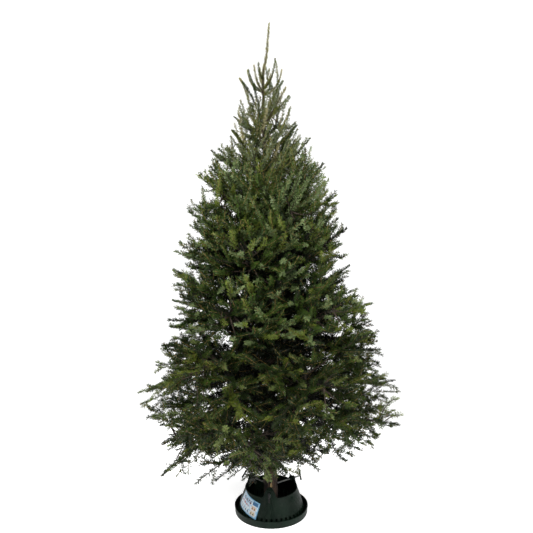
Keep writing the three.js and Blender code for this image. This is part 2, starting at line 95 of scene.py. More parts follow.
STATIONS = 7  # places along every twig at which its centre is worked out
SLOPE_STEP = 0.02  # a share of a limb, over which its direction is taken
STEEP = 0.93  # the rise of a direction that counts as upright
FINE = dict(  # a list gives a value for each layer
    pairs=[9, 9, 9, 9, 6, 3, 1],  # further pairs of limbs in a mass
    least_aside=0.06, aside=0.92, aside_step=0.7549,  # where they run in the mass's space
    above=0.92, above_step=0.5698,
    reach=[0.88, 0.88, 0.88, 0.87, 0.85, 0.80, 0.76], reach_spread=0.13,
    bare=0.32, sub_bare=0.12,  # the inner share of a limb, or a side shoot, that has no side shoots
    spacing=[0.048, 0.048, 0.048, 0.050, 0.058, 0.084, 0.100, 0.080], sub_spacing=0.044,
    place=0.6, place_spread=0.35, end_room=0.2, last_place=0.97,  # in spacings, but for the last
    tip_reach=[0.028, 0.028, 0.030, 0.034, 0.055, 0.080, 0.090, 0.085], reach_growth=0.55,
    longest=[0.130, 0.130, 0.130, 0.135, 0.165, 0.195, 0.200, 0.200], sub_longest=0.070,
    length_spread=0.18, roll=1.0, sub_roll=1.3, forward=0.62, sideways=0.78,
    forks=[0.080, 0.080, 0.080, 0.090, 0.140, 0.250, 0.300, 0.300],  # the least length with side shoots
    upturn=[0.0, 0.08, 0.18, 0.30, 0.46, 0.55, 0.55, 0.55], upturn_spread=0.1,
    trims=(1, 0.8, 0.6),  # shares of its length that are tried until a side shoot fits the crown
    slack=0.006,  # added to the crown's reach where a twig is held against it
    proud=(0.87, 1.03), top_proud=(0.86, 1.10),  # how far a tip may reach, as a share of the outline
    own_colour=0.2,  # the share of second side shoots in the colour of the first
    young_from=5, young_out=0.97, young_share=0.35,  # pale tips in the top layers
    hang=(0.140, 0.030), hang_radii=(0.28, 0.48),  # how far twigs hang below the lowest surface
)
CLEARING = dict(  # kept free of twigs above the stand
    radius=0.46, height=0.178,
    slope=0.45,  # how fast it rises towards the front
    sides=(0.008, 0.060), aside=(0.065, 0.09),  # it is higher left and right, round the screw's handle
)
INNER = dict(  # small branches that leave the trunk between the whorls
    seed=700, count=208, low=0.285, high=1.810, reach=(0.34, 0.66), turn=0.25, bare=0.12, radius=0.0026,
    fall=0.11, fall_from=(0.36, 0.56), lowest_tip=0.235,  # the lowest ones hang
    slack=(0.070, 0.025, 0),  # how far a tip may hang into the clearing: left, in the middle and right
)
LOWEST = dict(  # short ones round the trunk, just over the stand
    seed=800, count=84, low=0.240, high=0.380, reach=(0.08, 0.27), turn=0.25, bare=0.10, radius=0.0020,
    fall=0.05, fall_from=(0.36, 0.56), lowest_tip=0.205, slack=(0.045, 0.015, 0),
)
INNER_ROOT = 0.8  # where they start, as a share of the trunk's radius
TWIG = dict(
    limb=0.0030, limb_tip=0.0012, shoot=0.0014, shoot_tip=0.0009, limb_sides=5, shoot_sides=3,
    stem_bare=0.30, limb_bare=0.36, shoot_bare=0.04,  # the inner share without needles
)
NEEDLE = dict(
    seed=11, count=435_000, length=0.0145, top_length=0.0102, width=0.0034, twist=0.35,
    root_width=0.5, tip_width=0.85,  # shares of the width
    lean=66 * DEGREE, lean_spread=0.6 * (12 * DEGREE),
    closing=0.6, closing_power=9,  # how much less they lean, close to the tip
    comb=0.80, upright=(0.35, 0.85),  # parted below a level twig, and all round an upright one
    sizes=(0.78, 1.16), upper_size=0.82, side_size=0.18, face_spread=0.35, lift=0.06,
)
CLOTHING = dict(  # needles stand closest on the young outer shoots
    limb=0.8, crowded_layers=(3.5, 6), crowding=0.8, leader_crowding=1.0,
    short_layers=(3, 6), length_spread=0.12, most_spread=1.5, leader_cut=0.2,
)
SHADE = dict(  # and thin out on the older wood and in the shade, which is 1 near the trunk; past dark, their colour is the inner kind, painted shade
    out=(0.45, 0.75), layers=(2.5, 5.5), heights=(0.24, 0.34), dark=0.5,
    thinning=0.5, lengthening=0.5, widening=0.9,
)
BUD = dict(radius=0.0020, length=0.0060, seat=0.1, waist=0.35)
KINDS = ["inner", "deep", "mid", "silver", "fresh", "pale"]
KIND_SHARES = [  # of the kinds after the inner one, for each layer, and the leader last: darker kinds low down, partly painted shade, and lighter ones at the top, partly painted light
    (0.50, 0.31, 0.10, 0.09, 0.0), (0.46, 0.32, 0.12, 0.10, 0.0), (0.40, 0.34, 0.15, 0.11, 0.0),
    (0.32, 0.34, 0.20, 0.14, 0.0), (0.22, 0.32, 0.28, 0.18, 0.0), (0.05, 0.27, 0.34, 0.28, 0.06),
    (0.0, 0.08, 0.34, 0.40, 0.18), (0.0, 0.0, 0.10, 0.22, 0.68),
]
HEIGHT_GROUPS = dict(low=(0, 2), middle=(2, 5), top=(5, 8))  # layers, from the first to before the last


# ---------- shared helpers ----------


def chance(*keys):
    """An even value from 0 to 1 that whole-number keys always give alike.

    Keys are seeds, counts, and small numbers that tell one draw for a twig from the next.
    """
    mask = 0xFFFFFFFF
    value = 0x9E3779B9
    for key in keys:
        value = ((value ^ (key + 1)) * 0x85EBCA6B) & mask
        value ^= value >> 13
        value = (value * 0xC2B2AE35) & mask
        value ^= value >> 16
    return value / 4294967296


def spread(amount, *keys):
    return amount * (2 * chance(*keys) - 1)


def unit(vectors):
    return vectors / np.linalg.norm(vectors, axis=-1, keepdims=True)


def lerp(start, end, share):
    return start + (end - start) * share


def smooth(values, low, high):
    """0 below low, 1 above high, and a soft step between them."""
    share = np.clip((values - low) / (high - low), 0, 1)
    return share * share * (3 - 2 * share)


def circle(sides):
    """Angles of the corners of a regular outline."""
    return np.arange(sides) * 2 * math.pi / sides


def directions(along):
    """Across and out directions for unit directions along."""
    steep = np.abs(along[..., 2:3]) > STEEP
    upright = np.where(steep, np.array([0.0, -1.0, 0.0]), np.array([0.0, 0.0, 1.0]))
    across = unit(np.cross(along, upright))
    return across, np.cross(across, along)


def grid(reach, angle, height):
    """Points about the Z axis, from distances out, angles and heights, and their numbers."""
    reach, angle, height = np.broadcast_arrays(reach, angle, height)
    points = np.stack([reach * np.cos(angle), reach * np.sin(angle), height], -1)
    return points.reshape(-1, 3), np.arange(reach.size).reshape(reach.shape)


def all_round(across, out, sides):
    """Unit vectors round limbs, from their across and out directions."""
    angle = circle(sides)
    return across[..., None, :] * np.cos(angle)[:, None] - out[..., None, :] * np.sin(angle)[:, None]


def make_mesh(name, points, faces, crease=None):
    """An object from points and arrays of faces; crease is the angle above which edges are sharp."""
    mesh = bpy.data.meshes.new(name)
    mesh.vertices.add(len(points))
    mesh.vertices.foreach_set("co", np.ascontiguousarray(points, dtype=np.float32).ravel())
    sizes = np.concatenate([np.full(len(part), part.shape[1]) for part in faces])
    corners = np.concatenate([part.ravel() for part in faces])
    mesh.loops.add(len(corners))
    mesh.loops.foreach_set("vertex_index", corners.astype(np.int32))
    mesh.polygons.add(len(sizes))
    mesh.polygons.foreach_set("loop_start", (np.cumsum(sizes) - sizes).astype(np.int32))
    mesh.update(calc_edges=True)
    mesh.validate()
    if crease is not None:
        mesh.polygons.foreach_set("use_smooth", np.ones(len(sizes), dtype=bool))
        mesh.set_sharp_from_angle(angle=crease)
    piece = bpy.data.objects.new(name, mesh)
    bpy.context.scene.collection.objects.link(piece)
    return piece


def dress(piece, finish, nodes):
    """Gives a piece its finish and the CAD nodes that it stands for."""
    piece.data.materials.append(finish)
    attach(piece, "root")
    if nodes:
        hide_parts(*nodes)
    return piece


class Heap:
    """Several meshes gathered into one."""

    def __init__(self):
        self.points = []
        self.faces = []
        self.count = 0

    def add(self, points, faces):
        self.points.append(points)
        self.faces.extend(part + self.count for part in faces)
        self.count += len(points)

    def make(self, name, crease=None):
        return make_mesh(name, np.concatenate(self.points), self.faces, crease)


def ring_faces(index, closed_rings=True):
    """Quads between neighbouring rows of point numbers, and round each row where it is closed."""
    near, far = index[:-1], index[1:]
    if closed_rings:
        return np.stack([near, np.roll(near, -1, 1), np.roll(far, -1, 1), far], -1).reshape(-1, 4)
    return np.stack([near[:, :-1], near[:, 1:], far[:, 1:], far[:, :-1]], -1).reshape(-1, 4)


def capped(index):
    """Ring faces, and one face on each end."""
    return [ring_faces(index), index[-1:], index[:1, ::-1]]


# ---------- the rule of growth ----------


def trunk_axis(z):
    return TRUNK["lean"] * z


def trunk_radius(z):
    share = (z - TRUNK["foot"]) / (TRUNK["top"] - TRUNK["foot"])
    return lerp(TRUNK["foot_radius"], TRUNK["top_radius"], share)


def crown_reach(z, azimuth):
    """How far the crown reaches from the trunk at a height, less its shallow waists."""
    if z < CROWN["widest_height"]:
        below = CROWN["widest_height"] - z
        return max(CROWN["least_reach"], CROWN["widest"] - CROWN["underside"] * below * below)
    share = min(1, (z - CROWN["widest_height"]) / (CROWN["top_height"] - CROWN["widest_height"]))
    cone = (CROWN["widest"] - CROWN["tip_radius"]) * (1 - share)
    reach = CROWN["tip_radius"] + cone * (1 + CROWN["bulge"] * share * (1 - share))
    for height, fade, depth, side in WAISTS:
        away = (z - height) / fade
        reach -= depth * math.exp(-away * away) * (1 + side * math.cos(azimuth)) / (1 + abs(side))
    return reach


def bough_height(base, radius, azimuth):
    """The height, this far out, of the bough surface that leaves the trunk at a base height."""
    share = max(0, (base - RISE["lowest"]) / (RISE["highest"] - RISE["lowest"]))
    slope = RISE["flat"] + RISE["steep"] * share ** RISE["steepening"]
    slope += RISE["side"] * math.cos(azimuth)
    slope -= RISE["front"] * math.sin(azimuth) * max(0, 1 - share)
    curl = RISE["sag"] + RISE["curl"] * share ** RISE["curling"]
    rolling = min(1, share * RISE["wave_start"])
    wave = RISE["wave"] * math.cos(2 * (azimuth - RISE["wave_turn"])) * rolling
    turn = azimuth - DROOP["azimuth"]
    swing = math.atan2(math.sin(turn), math.cos(turn)) / DROOP["spread"]
    fade = math.exp(-swing * swing - (base - RISE["lowest"]) / DROOP["fade"])
    droop = DROOP["depth"] * fade * (radius / DROOP["at"]) ** 3
    return base + wave + slope * radius + curl * radius * radius - droop


def crown_point(radius, azimuth, base):
    """A point of the crown, from its distance out, azimuth and bough surface's base height."""
    z = bough_height(base, radius, azimuth)
    return np.array([trunk_axis(z) + radius * math.cos(azimuth), radius * math.sin(azimuth), z])


def surface_reach(base, azimuth):
    """How far out a bough surface meets the crown's outline."""
    near = 0
    far = 2 * CROWN["widest"]
    for _ in range(REACH_HALVINGS):
        middle = (near + far) / 2
        if middle < crown_reach(bough_height(base, middle, azimuth), azimuth):
            near = middle
        else:
            far = middle
    return near


def place_on(route, s):
    """A place on a limb in crown coordinates: it leaves its parent at an angle, then runs outwards."""
    start, end = route
    turn = 1 - (1 - s) ** LIMB["turn_power"]
    return start + (end - start) * np.array([s, turn, turn])


def grow_limb(route):
    return lambda s: crown_point(*place_on(route, s))


def frame_at(limb, s):
    """The directions along, across and out of a limb at a place on it."""
    along = unit(limb(min(1, s + SLOPE_STEP)) - limb(max(0, s - SLOPE_STEP)))
    return along, *directions(along)


Space = namedtuple("Space", "key layer low high azimuth half_angle start_radius")
Twig = namedtuple("Twig", "curve length radius tip_radius layer level kind bare key")


def finer_pair(number):
    """How far aside of the stem, and above or below it, a further pair of limbs runs: evenly spread."""
    aside = (0.5 + FINE["aside_step"] * number) % 1
    above = (0.5 + FINE["above_step"] * number) % 1
    return FINE["least_aside"] + FINE["aside"] * aside, FINE["above"] * (2 * above - 1)


def routes_of(space):
    """The routes of a mass's stem and limbs: the source's pairs first, then the finer ones."""
    ahead = space.azimuth
    middle = (space.low + space.high) / 2
    half_height = (space.high - space.low) / 2
    reach = surface_reach(middle, ahead) * (1 + spread(STEM["reach_spread"], space.key, 1))
    stem_end = [reach, ahead + spread(STEM["angle_spread"], space.key, 2), middle]
    stem = (np.array([space.start_radius, ahead, middle]), np.array(stem_end))
    routes = [stem]
    pairs = LIMB_PAIRS + [finer_pair(number + 1) for number in range(FINE["pairs"][space.layer])]
    for index in range(2 * len(pairs)):
        aside, above = pairs[index // 2]
        coarse = index // 2 < len(LIMB_PAIRS)
        side = 1 if index % 2 else -1
        turn = side * aside * (space.half_angle - LIMB["side_margin"])
        azimuth = ahead + turn + spread(LIMB["angle_spread"], space.key, 3, index)
        base = middle + side * above * half_height
        reach = LIMB["reach"] if coarse else FINE["reach"][space.layer]
        reach += spread(LIMB["reach_spread"] if coarse else FINE["reach_spread"], space.key, 4, index)
        radius = surface_reach(base, azimuth) * reach
        offset = math.hypot(radius * (azimuth - ahead), base - middle)
        place = LIMB["root_spacing"] * (index % LIMB["root_places"])
        least_root = space.start_radius + LIMB["first_root"] + place
        root = min(max(least_root, radius - offset), LIMB["last_root"] * stem[1][0])
        share = (root - stem[0][0]) / (stem[1][0] - stem[0][0])
        routes.append((place_on(stem, share), np.array([radius, azimuth, base])))
    return routes


def side_limb(limb, s, side, length, roll, bend_up, angle):
    """A side shoot that leaves a limb at about half a right angle."""
    along, across, out = frame_at(limb, s)
    root = limb(s)
    direction = unit(
        angle["forward"] * along
        + angle["sideways"] * (side * math.cos(roll) * across + math.sin(roll) * out)
    )
    bend = SIDE_SPRAY["bend"] * along + np.array([0, 0, bend_up])
    return lambda t: root + length * (direction * t + bend * t * t)


def out_share(point):
    """How far out a point is, as a share of the crown's reach at its height."""
    x, y, z = point
    x -= trunk_axis(z)
    return math.hypot(x, y) / (crown_reach(z, math.atan2(y, x)) + FINE["slack"])


def over_stand(point):
    """Whether a point is low over the stand, where it would hide the stand or its screws."""
    x, y, z = point
    clear = CLEARING["height"] + CLEARING["slope"] * max(0, -y)
    clear += CLEARING["sides"][int(x > 0)] * smooth(abs(x), *CLEARING["aside"])
    return math.hypot(x, y) < CLEARING["radius"] and z < clear


def in_crown(point, proud):
    """Whether a point keeps to a share of the crown's outline, to its underside and off the stand."""
    if over_stand(point):
        return False
    x, y, z = point
    x -= trunk_axis(z)
    radius = math.hypot(x, y)
    hang = lerp(*FINE["hang"], smooth(radius, *FINE["hang_radii"]))
    lowest = bough_height(LAYER_EDGES[0], radius, math.atan2(y, x)) - hang
    return out_share(point) < proud and z > lowest


def deal_kind(layer, *keys):
    """The colour of a spray, by the shares of its layer."""
    value = chance(*keys)
    for kind, share in enumerate(KIND_SHARES[layer], 1):
        value -= share
        if value < 0:
            return kind
    return len(KINDS) - 1


def add_side_shoots(parent, twigs):
    """Side shoots along the outer part of a limb, left and right by turns, shorter towards its tip."""
    sub = parent.level > 0
    spacing = FINE["sub_spacing"] if sub else FINE["spacing"][parent.layer]
    bare = FINE["sub_bare"] if sub else min(parent.bare, FINE["bare"])
    count = round((1 - bare) * parent.length / spacing)
    for index in range(count):
        key = (*parent.key, 31, index)
        place = index + FINE["place"] + spread(FINE["place_spread"], *key, 1)
        s = bare + (1 - bare) * place / (count + FINE["end_room"])
        if s > FINE["last_place"]:
            continue
        behind = (1 - s) * parent.length
        reach = FINE["tip_reach"][parent.layer] + FINE["reach_growth"] * behind
        reach = min(reach, FINE["sub_longest"] if sub else FINE["longest"][parent.layer])
        reach *= 1 + spread(FINE["length_spread"], *key, 2)
        roll = spread(FINE["sub_roll"] if sub else FINE["roll"], *key, 3)
        side = 1 if index % 2 else -1
        add_shoot(parent, s, side, reach, roll, key, twigs, FINE)


def add_shoot(parent, s, side, reach, roll, key, twigs, angle):
    """One side shoot, cut shorter where it would leave the crown; long ones have their own."""
    bend_up = FINE["upturn"][parent.layer] + spread(FINE["upturn_spread"], *key, 4)
    young = parent.layer >= FINE["young_from"]
    proud = lerp(*FINE["top_proud" if young else "proud"], chance(*key, 9))
    for trim in FINE["trims"]:
        curve = side_limb(parent.curve, s, side, trim * reach, roll, bend_up, angle)
        if in_crown(curve(1), proud) and in_crown(curve(0.5), proud):
            kind = parent.kind
            if parent.level == 0 or chance(*key, 5) > FINE["own_colour"]:
                kind = deal_kind(parent.layer, *key, 6)
            outermost = young and out_share(curve(1)) > FINE["young_out"]
            if outermost and chance(*key, 8) < FINE["young_share"]:
                kind = KINDS.index("pale")
            shoot = Twig(curve, trim * reach, TWIG["shoot"], TWIG["shoot_tip"],
                         parent.layer, parent.level + 1, kind, TWIG["shoot_bare"], key)
            twigs.append(shoot)
            if parent.level == 0 and shoot.length > FINE["forks"][parent.layer]:
                add_side_shoots(shoot, twigs)
            return


def grow_mass(space, stalk, twigs):
    """All twigs of one mass: its stem and limbs, the source's side sprays and the finer side shoots."""
    for order, route in enumerate(routes_of(space)):
        curve = grow_limb(route)
        length = float(np.linalg.norm(curve(1) - curve(0)))
        radius = stalk if order == 0 else TWIG["limb"]
        bare = TWIG["stem_bare" if order == 0 else "limb_bare"]
        kind = deal_kind(space.layer, space.key, 7, order)
        limb = Twig(curve, length, radius, TWIG["limb_tip"],
                    space.layer, 0, kind, bare, (space.key, order))
        twigs.append(limb)
        if order <= LIMBS_WITH_SPRAYS[space.layer]:
            for index, (s, side) in enumerate(STEM_SPRAYS if order == 0 else LIMB_SPRAYS):
                roll = spread(SIDE_SPRAY["roll"], space.key, 5, order, index)
                reach = length * (SIDE_SPRAY["longest"] - SIDE_SPRAY["shortening"] * s)
                turn = side if order % 2 else -side
                add_shoot(limb, s, turn, reach, roll, (space.key, order, 8, index), twigs, SIDE_SPRAY)
        add_side_shoots(limb, twigs)


def grow_inner(rule, twigs):
    """Small branches straight from the trunk, spread evenly round and up it."""
    for index in range(rule["count"]):
        key = (rule["seed"], index)
        base = lerp(rule["low"], rule["high"], (index + 0.5) / rule["count"])
        azimuth = index * GOLDEN_ANGLE
        layer = int(np.clip(np.searchsorted(LAYER_EDGES, base) - 1, 0, len(MASSES_IN_LAYER) - 1))
        radius = surface_reach(base, azimuth) * lerp(*rule["reach"], chance(*key, 1))
        fall = min(rule["fall"], base - rule["lowest_tip"]) * (1 - smooth(base, *rule["fall_from"]))
        end = np.array([radius, azimuth + spread(rule["turn"], *key, 2), base - fall])
        curve = grow_limb((np.array([INNER_ROOT * trunk_radius(base), azimuth, base]), end))
        tip = curve(1)
        aside = CLEARING["aside"][0]
        slack = rule["slack"][int(tip[0] >= -aside / 2) + int(tip[0] >= aside)]
        if over_stand(tip + np.array([0, 0, slack])):
            continue
        length = float(np.linalg.norm(tip - curve(0)))
        kind = deal_kind(layer, *key, 7)
        limb = Twig(curve, length, rule["radius"], TWIG["limb_tip"], layer, 0, kind, rule["bare"], key)
        twigs.append(limb)
        add_side_shoots(limb, twigs)


def spaces():
    """The space of every mass, with its node's name."""
    for layer, count in enumerate(MASSES_IN_LAYER):
        low, high = LAYER_EDGES[layer:layer + 2]
        base = (low + high) / 2
        half_angle = math.pi / count
        for index in range(count):
            azimuth = LAYER_TURN[layer] + 2 * half_angle * index
            start = trunk_radius(base)
            if layer < LAYERS_WITH_BOUGHS:
                start = BOUGH_SHARE * surface_reach(base, azimuth)
            space = Space(10 * layer + index, layer, low, high, azimuth, half_angle, start)
            yield f"{layer + 1}_{index + 1}", space


def leader_curve():
    """A smooth curve from the trunk's tip through the leader's bends."""
    foot = (trunk_axis(TRUNK["top"]), 0, TRUNK["top"])
    knots = np.array([foot] + [(x, 0, z) for x, z in LEADER["bends"]])
    knots = np.vstack([2 * knots[0] - knots[1], knots, 2 * knots[-1] - knots[-2]])

    def curve(s):
        place = s * (len(knots) - 3)
        cell = min(int(place), len(knots) - 4)
        t = place - cell
        a, b, c, d = knots[cell:cell + 4]
        linear = (c - a) * t
        square = (2 * a - 5 * b + 4 * c - d) * t * t
        cube = (3 * b - a - 3 * c + d) * t ** 3
        return 0.5 * (2 * b + linear + square + cube)

    return curve


def grow_leader(twigs):
    """The leader, the ring of upturned shoots at its foot and a few weak ones above."""
    layer = len(MASSES_IN_LAYER)
    seed = LEADER["seed"]
    whole = leader_curve()
    height = CROWN["top_height"] - TRUNK["top"]

    def curve(s):
        return whole(LEADER["wood"] * s)

    pale = KINDS.index("pale")
    twigs.append(Twig(curve, height, TRUNK["top_radius"], TWIG["limb_tip"], layer, 0, pale,
                      LEADER["bare"], (seed,)))
    for index in range(LEADER["shoots"] + LEADER["weak_shoots"]):
        weak = index - LEADER["shoots"]
        if weak < 0:
            azimuth = LEADER["first_shoot"] + index * 2 * math.pi / LEADER["shoots"]
            root = whole(LEADER["lowest_root"] + LEADER["root_spacing"] * index)
            length = LEADER["shoot_length"] + spread(LEADER["shoot_spread"], seed, index)
        else:
            azimuth = LEADER["first_shoot"] + LEADER["weak_turn"] + weak * GOLDEN_ANGLE
            root = whole(LEADER["lowest_root"] + LEADER["weak_spacing"] * weak)
            length = LEADER["weak_length"] + spread(LEADER["weak_spread"], seed, index)
        away = np.array([math.cos(azimuth), math.sin(azimuth), 0])

        def shoot(s, root=root, away=away, length=length):
            rise = length * (LEADER["upward"] * s + LEADER["upturn"] * s * s)
            out = 1 - (1 - s) ** LEADER["outward_power"]
            return root + away * LEADER["outward"] * length * out + np.array([0, 0, rise])

        kind = deal_kind(layer, seed, 7, index)
        twigs.append(Twig(shoot, length, TWIG["limb"], TWIG["limb_tip"], layer, 0, kind,
                          LEADER["shoot_bare"], (seed, index)))


# ---------- twigs, needles and buds ----------


def tubes(centres, radii, sides):
    """Points and faces of tapering twigs with closed ends, from centres (twig, station) and radii."""
    around = all_round(*directions(unit(np.gradient(centres, axis=1))), sides)
    points = centres[:, :, None] + radii[:, :, None, None] * around
    index = np.arange(points[..., 0].size).reshape(points.shape[:3])
    near, far = index[:, :-1], index[:, 1:]
    walls = np.stack([near, np.roll(near, -1, 2), np.roll(far, -1, 2), far], -1).reshape(-1, 4)
    return points.reshape(-1, 3), [walls, index[:, -1], index[:, 0, ::-1]]


def buds(tips, along):
    """Pointed resinous buds of eight faces, seated on the tips of the twigs."""
    across, out = directions(along)
    sizes = BUD["length"] * along
    middle = tips + BUD["waist"] * sizes
    rims = [middle + BUD["radius"] * side for side in (across, -out, -across, out)]
    points = np.stack([tips - BUD["seat"] * sizes, *rims, tips + sizes], 1)
    start = (np.arange(len(tips)) * 6)[:, None, None]
    rim = [(corner + 1, (corner + 1) % 4 + 1) for corner in range(4)]
    lower = [(0, after, before) for before, after in rim]
    upper = [(5, before, after) for before, after in rim]
    faces = (start + np.array([*lower, *upper])[None]).reshape(-1, 3)
    return points.reshape(-1, 3), [faces]


def needles(centres, owner, u, length, width, random):
    """Blunt, slightly twisted needles at shares u along their twigs: four points and two faces each."""
    place = u * (STATIONS - 1)
    cell = np.minimum(place.astype(int), STATIONS - 2)
    start, end = centres[owner, cell], centres[owner, cell + 1]
    root = lerp(start, end, (place - cell)[:, None])
    along = unit(end - start)
    across, out = directions(along)
    comb = lerp(NEEDLE["comb"], 1, smooth(along[:, 2], *NEEDLE["upright"]))
    roll = random.uniform(-math.pi, math.pi, len(u)) * comb
    outwards = np.cos(roll)[:, None] * out + np.sin(roll)[:, None] * across
    closing = 1 - NEEDLE["closing"] * u ** NEEDLE["closing_power"]
    lean = (NEEDLE["lean"] + random.normal(0, NEEDLE["lean_spread"], len(u))) * closing
    pointing = np.cos(lean)[:, None] * along + np.sin(lean)[:, None] * outwards
    shorter_above = NEEDLE["upper_size"] + NEEDLE["side_size"] * np.abs(np.sin(roll))
    size = length[owner] * random.uniform(*NEEDLE["sizes"], len(u)) * shorter_above
    side = unit(np.cross(pointing, outwards) + random.normal(0, NEEDLE["face_spread"], root.shape))
    side = unit(side - pointing * np.sum(side * pointing, -1, keepdims=True))
    twisted = unit(side + NEEDLE["twist"] * np.cross(side, pointing))
    half = (width / 2)[:, None]
    low_half, high_half = NEEDLE["root_width"] * half * side, NEEDLE["tip_width"] * half * twisted
    tip = root + pointing * size[:, None] + out * (NEEDLE["lift"] * size)[:, None]
    points = np.stack([root - low_half, root + low_half, tip + high_half, tip - high_half], 1)
    first = (np.arange(len(u)) * 4)[:, None, None]
    faces = (first + np.array([[0, 1, 2], [0, 2, 3]])[None]).reshape(-1, 3)
    return points.reshape(-1, 3), [faces]


def grow_all():
    """Every twig of the tree, in the order in which its random values are drawn."""
    twigs = []
    for _, space in spaces():
        stalk = BOUGH_RADIUS["tip"] if space.layer < LAYERS_WITH_BOUGHS else STEM["radius_on_trunk"]
        grow_mass(space, stalk, twigs)
    grow_inner(INNER, twigs)
    grow_inner(LOWEST, twigs)
    grow_leader(twigs)
    return twigs


def foliage_nodes(first, last):
    """The names of the foliage nodes of the layers from the first to before the last."""
    names = [f"foliage_{name}" for name, space in spaces() if first <= space.layer < last]
    return names + (["foliage_leader"] if last > len(MASSES_IN_LAYER) else [])


def column(twigs, field):
    """One field of every twig."""
    return np.array([getattr(twig, field) for twig in twigs])


def make_wood(twigs, centres, finishes):
    """The wood of the limbs, the bark of the side shoots and a bud on every tip."""
    nodes = foliage_nodes(0, len(MASSES_IN_LAYER) + 1)
    radii = lerp(
        column(twigs, "radius")[:, None],
        column(twigs, "tip_radius")[:, None],
        np.linspace(0, 1, STATIONS)[None],
    )
    limb = column(twigs, "level") == 0
    rings = [0, STATIONS // 2, STATIONS - 1]
    meshes = dict(
        limb_wood=tubes(centres[limb], radii[limb], TWIG["limb_sides"]),
        shoot_bark=tubes(centres[~limb][:, rings], radii[~limb][:, rings], TWIG["shoot_sides"]),
    )
    for name, (points, faces) in meshes.items():
        dress(make_mesh(name, points, faces, crease=math.pi), finishes[name], nodes)
    points, faces = buds(centres[:, -1], unit(centres[:, -1] - centres[:, -2]))
    dress(make_mesh("buds", points, faces), finishes["buds"], nodes)


def make_needles(twigs, centres):
    """The needles of all twigs, with a piece for each kind in each group of layers."""
    random = np.random.default_rng(NEEDLE["seed"])
    layer = column(twigs, "layer")
    height = layer.astype(float)
    leader = layer == len(MASSES_IN_LAYER)
    bare = column(twigs, "bare")
    middle = centres[:, STATIONS // 2]
    out = np.array([out_share(point) for point in middle])
    shade = (1 - smooth(out, *SHADE["out"])) * (1 - smooth(height, *SHADE["layers"]))
    shade *= smooth(middle[:, 2], *SHADE["heights"])
    # Needles deep in the shade take the inner kind, a near-black green that is painted shade.
    kind = np.where(shade > SHADE["dark"], 0, column(twigs, "kind"))
    weight = column(twigs, "length") * (1 - bare)
    weight = weight * np.where(column(twigs, "level") == 0, CLOTHING["limb"], 1.0)
    weight = weight * (1 - SHADE["thinning"] * shade)
    crowding = CLOTHING["crowding"] * smooth(height, *CLOTHING["crowded_layers"])
    weight *= 1 + crowding + CLOTHING["leader_crowding"] * leader
    counts = np.round(NEEDLE["count"] * weight / weight.sum()).astype(int)
    length = lerp(NEEDLE["length"], NEEDLE["top_length"], smooth(height, *CLOTHING["short_layers"]))
    most = CLOTHING["most_spread"]
    varied = 1 + CLOTHING["length_spread"] * random.standard_normal(len(twigs)).clip(-most, most)
    length *= varied * (1 + SHADE["lengthening"] * shade)
    length *= 1 - CLOTHING["leader_cut"] * leader
    for group, (first, last) in HEIGHT_GROUPS.items():
        nodes = foliage_nodes(first, last)
        for number, name in enumerate(KINDS):
            chosen = np.flatnonzero((kind == number) & (layer >= first) & (layer < last))
            dealt = counts[chosen]
            if not dealt.sum():
                continue
            owner = np.repeat(chosen, dealt)
            rank = np.arange(len(owner)) - np.repeat(np.cumsum(dealt) - dealt, dealt)
            share = (rank + random.uniform(0, 1, len(owner))) / counts[owner]
            u = bare[owner] + (1 - bare[owner]) * share
            width = NEEDLE["width"] * (1 + SHADE["widening"] * shade[owner])
            points, faces = needles(centres, owner, u, length, width, random)
            piece = make_mesh(f"needles_{name}_{group}", points, faces)
            dress(piece, needle_finish(name, group), nodes)


def make_foliage(finishes):
    """Grows the crown and makes its twigs, buds and needles."""
    twigs = grow_all()
    stations = np.linspace(0, 1, STATIONS)
    centres = np.array([[twig.curve(s) for s in stations] for twig in twigs])
    make_wood(twigs, centres, finishes)
    make_needles(twigs, centres)


# ---------- bark of the trunk and boughs ----------

BARK = dict(
    sides=44, rings=190, plates=0.0011, blisters=0.0012, collar=0.003, collar_height=0.02,
    plate_waves=(9, 60, 3), plate_level=0.8, blister_waves=(12, 160, 4), blister_level=1.1,
    cut_edge=0.004,  # the bark is smooth this close to the cut foot
)
BOUGH_BARK = dict(
    sides=12, rings=26, relief=0.0006, waves=(9, 160), wave_run=0.2,
    root=0.6, flare=0.35, flare_run=0.08,
)
SCARS = [  # azimuth, height, and the cut's height and width
    (-87 * DEGREE, 0.137, 0.030, 0.009),
    (38 * DEGREE, 0.205, 0.018, 0.012),
    (150 * DEGREE, 0.262, 0.016, 0.012),
]
SCAR_RINGS = [(1, -0.003), (1, 0.0022), (0.86, 0.0030), (0.4, 0.0031)]  # size, and height off the trunk
SCAR_SIDES = 20
TURNS = (1, 9)  # of a ripple's waves round a limb, from the first to before the last


def ripple(angle, height, waves, scale, seed):
    """A rough closed surface: a sum of waves round and up a limb, from about -1 to 1."""
    random = np.random.default_rng(seed)
    total = 0
    for _ in range(waves):
        turns = random.integers(*TURNS)
        pace = random.normal(0, scale)
        phase = random.uniform(0, 2 * math.pi)
        total = total + np.sin(turns * angle + pace * height + phase)
    return total / math.sqrt(waves)


